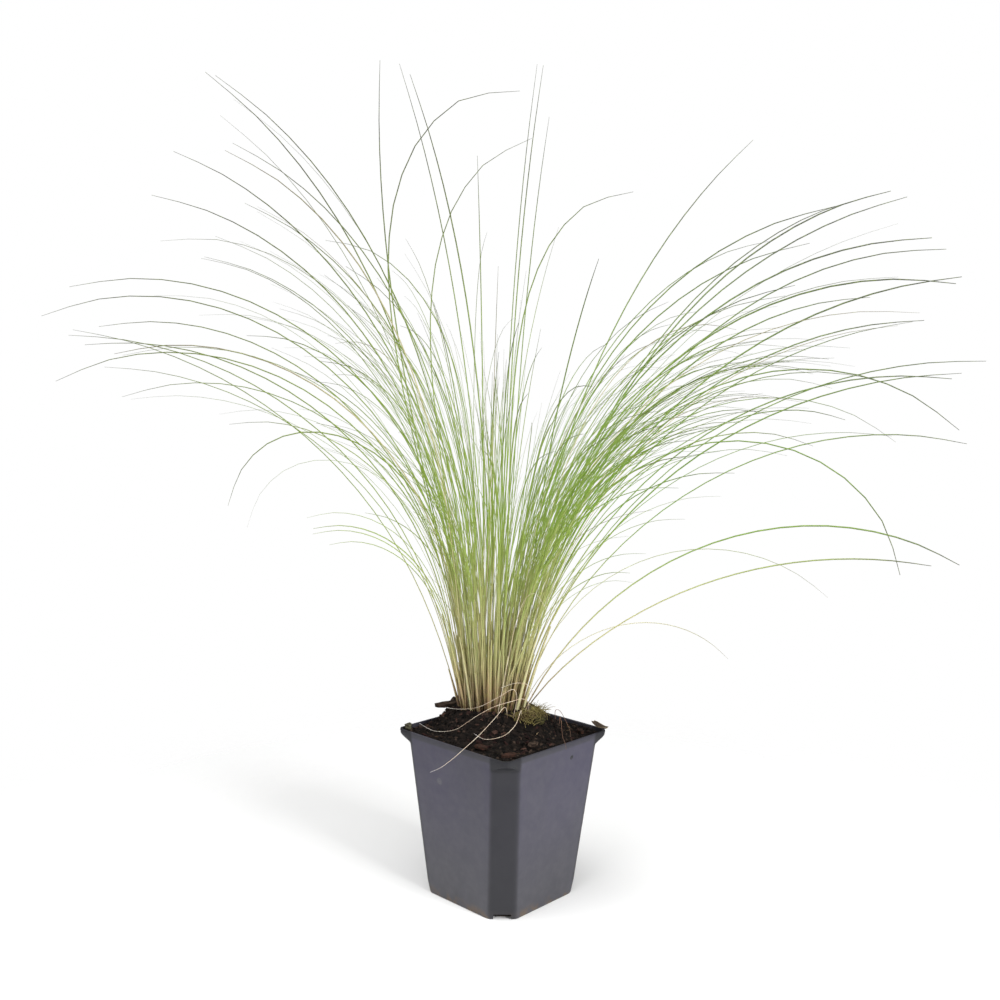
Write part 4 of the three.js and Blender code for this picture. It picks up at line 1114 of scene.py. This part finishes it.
def growSheath(i, draw):  # the last ones stand in the parting
    u, v = spiral(i, tuftFoot["sheaths"], spiralStep)
    inParting = i >= tuftFoot["sheaths"]
    if inParting:
        u, along = habits["parting"], (i - tuftFoot["sheaths"]) / (tuftFoot["middleSheaths"] - 1)
        v = tuftFoot["middleSpread"] * (2 * along - 1)
    thick = draw.uniform(*tuftFoot["halfWidth"])
    sheath = rootLeaf(leaning(tuftFoot["lean"][0] * u, tuftFoot["lean"][1] * v), u, v)
    sheath.update(sway=0, bend=tuftFoot["bend"], power=tuftFoot["power"])
    sheath["length"] = draw.uniform(*tuftFoot["length"])
    if inParting:
        sheath["x"] = partingX + draw.uniform(-0.5, 0.5)
    count = tuftFoot["guidePoints"]
    widths = [thick * mm * (1 - tuftFoot["narrowing"] * (k / (count - 1)) ** 1.4) for k in range(count)]
    line = {"points": guidePoints(sheath, count), "halfWidths": widths, "shares": [0.0] * count,
            "tone": draw.random(), "dry": 1.0 if draw.random() < tuftFoot["dryShare"] else 0.0}
    return sheath["bunch"], line


def growGrass():
    draw = random.Random(tuftFoot["seed"])
    bunches = [[], []]
    for leaf, course in growLeaves():
        marked = leaf["segments"] == grass["markedSegments"]
        tipX, _, tipZ = course[-1]
        fallen = marked and tipZ < grass["fallenBelow"]  # leaves that hang low are finer and half dry
        bold = marked and tipX > grass["boldBeyond"] and not fallen  # these stay broad almost to their tips
        half = draw.uniform(*grass["markedHalfWidth"]) if marked else drawWidth(leaf["bunch"], draw)
        half *= grass["fallenWidth"] if fallen else 1
        line = leafLine(leaf, draw, half, grass["boldNarrowing"] if bold else grass["narrowing"])
        line["dry"] = max(line["dry"], grass["fallenDryness"] * fallen)
        farOut = abs(tipX) > grass["farOut"][0] and tipZ > grass["farOut"][1]
        twins = grass["markedTwins"] * farOut if marked else grass["twins"][leaf["bunch"]]
        bunches[leaf["bunch"]] += [line, *growTwins(leaf, int(twins + draw.random()), draw)]
    for i in range(tuftFoot["middleLeaves"]):
        bunches[i % 2].append(growMiddleLeaf(i, draw))
    for i in range(tuftFoot["sheaths"] + tuftFoot["middleSheaths"]):
        bunch, line = growSheath(i, draw)
        bunches[bunch].append(line)
    return bunches


leafPaint = leafMaterial(grass)
for side, lines in zip(("left", "right"), growGrass()):
    piece = guideLines("grass" + side.capitalize(), lines)
    useTree(piece, leafSweep, pointsAlong=grass["pointsAlong"], sides=grass["sides"], material=leafPaint)
    finishPiece(piece, "leaf_green", f"grass_{side}")
    print("grass", side, ":", len(lines), "leaves and sheaths,", len(piece.data.polygons), "faces")

studio = {
    "floorHalf": 1.6, "floorColour": (0.84, 0.84, 0.84), "floorMottle": (0.86, 0.86, 0.855),
    "fadeFrom": 0.2, "fadeTo": 0.42, "ambient": 0.14, "lampsAt": 140,
    "lamps": [  # place in the fan's frame in millimetres, size in metres, power
        ((-950, -400, 950), 2.6, 32), ((720, -700, 500), 0.42, 12.5), ((0, -300, 1500), 1.6, 14)],
    "distance": 0.655, "eyeHeight": 0.2999, "lens": 39.67, "sensor": 36,
    "around": 43.14, "turn": 0.356, "down": 5.26, "roll": 0.94,  # degrees
}


def makeFloor():  # fades to the white round it
    half = studio["floorHalf"]
    corners = [(-half, -half, 0), (half, -half, 0), (half, half, 0), (-half, half, 0)]
    floor = addMesh("floor", corners, [(0, 1, 2, 3)])
    s = Shading("paleFloor", 0.9, 0.1)
    s.colour(s.mix(s.grain(6, 2), studio["floorColour"], studio["floorMottle"]))
    faded = s.span(s.measure("LENGTH"), studio["fadeFrom"], studio["fadeTo"])
    s.blend(faded, s.add("ShaderNodeBsdfTransparent"))
    floor.data.materials.append(s.material)


def makeWorld():  # white to the camera, dim to everything else
    world = bpy.data.worlds.new("studio")
    world.use_nodes = True
    nodes, links = world.node_tree.nodes, world.node_tree.links
    dim, seen = nodes["Background"], nodes.new("ShaderNodeBackground")
    for background in (dim, seen):
        background.inputs["Color"].default_value = (1, 1, 1, 1)
    dim.inputs["Strength"].default_value = studio["ambient"]
    mixed = nodes.new("ShaderNodeMixShader")
    links.new(nodes.new("ShaderNodeLightPath").outputs["Is Camera Ray"], mixed.inputs["Fac"])
    links.new(dim.outputs[0], mixed.inputs[1])
    links.new(seen.outputs[0], mixed.inputs[2])
    links.new(mixed.outputs[0], nodes["World Output"].inputs["Surface"])
    bpy.context.scene.world = world
    bpy.context.scene.view_settings.view_transform = "Standard"


def makeLamps():
    target = fromFan(0, 0, studio["lampsAt"])
    for number, (place, width, power) in enumerate(studio["lamps"], 1):
        lamp = bpy.data.lights.new(f"softbox{number}", "AREA")
        lamp.shape, lamp.size, lamp.size_y, lamp.energy = "RECTANGLE", width, width, power
        holder = bpy.data.objects.new(lamp.name, lamp)
        holder.location = fromFan(*place)
        holder.rotation_euler = (target - holder.location).to_track_quat("-Z", "Y").to_euler()
        bpy.context.scene.collection.objects.link(holder)


def makeCamera():
    camera = bpy.data.objects.new("camera", bpy.data.cameras.new("camera"))
    camera.data.lens, camera.data.sensor_width = studio["lens"], studio["sensor"]
    camera.data.clip_start = 0.01
    around, distance = math.radians(studio["around"]), studio["distance"]
    camera.location = (distance * math.sin(around), -distance * math.cos(around), studio["eyeHeight"])
    aim = Matrix.Rotation(math.radians(studio["around"] + studio["turn"]), 3, "Z")
    aim = aim @ Matrix.Rotation(math.radians(90 - studio["down"]), 3, "X")
    aim = aim @ Matrix.Rotation(math.radians(studio["roll"]), 3, "Z")
    camera.rotation_euler = aim.to_euler()
    bpy.context.scene.collection.objects.link(camera)
    bpy.context.scene.camera = camera


makeFloor()
makeWorld()
makeLamps()
makeCamera()
print("studio ready")
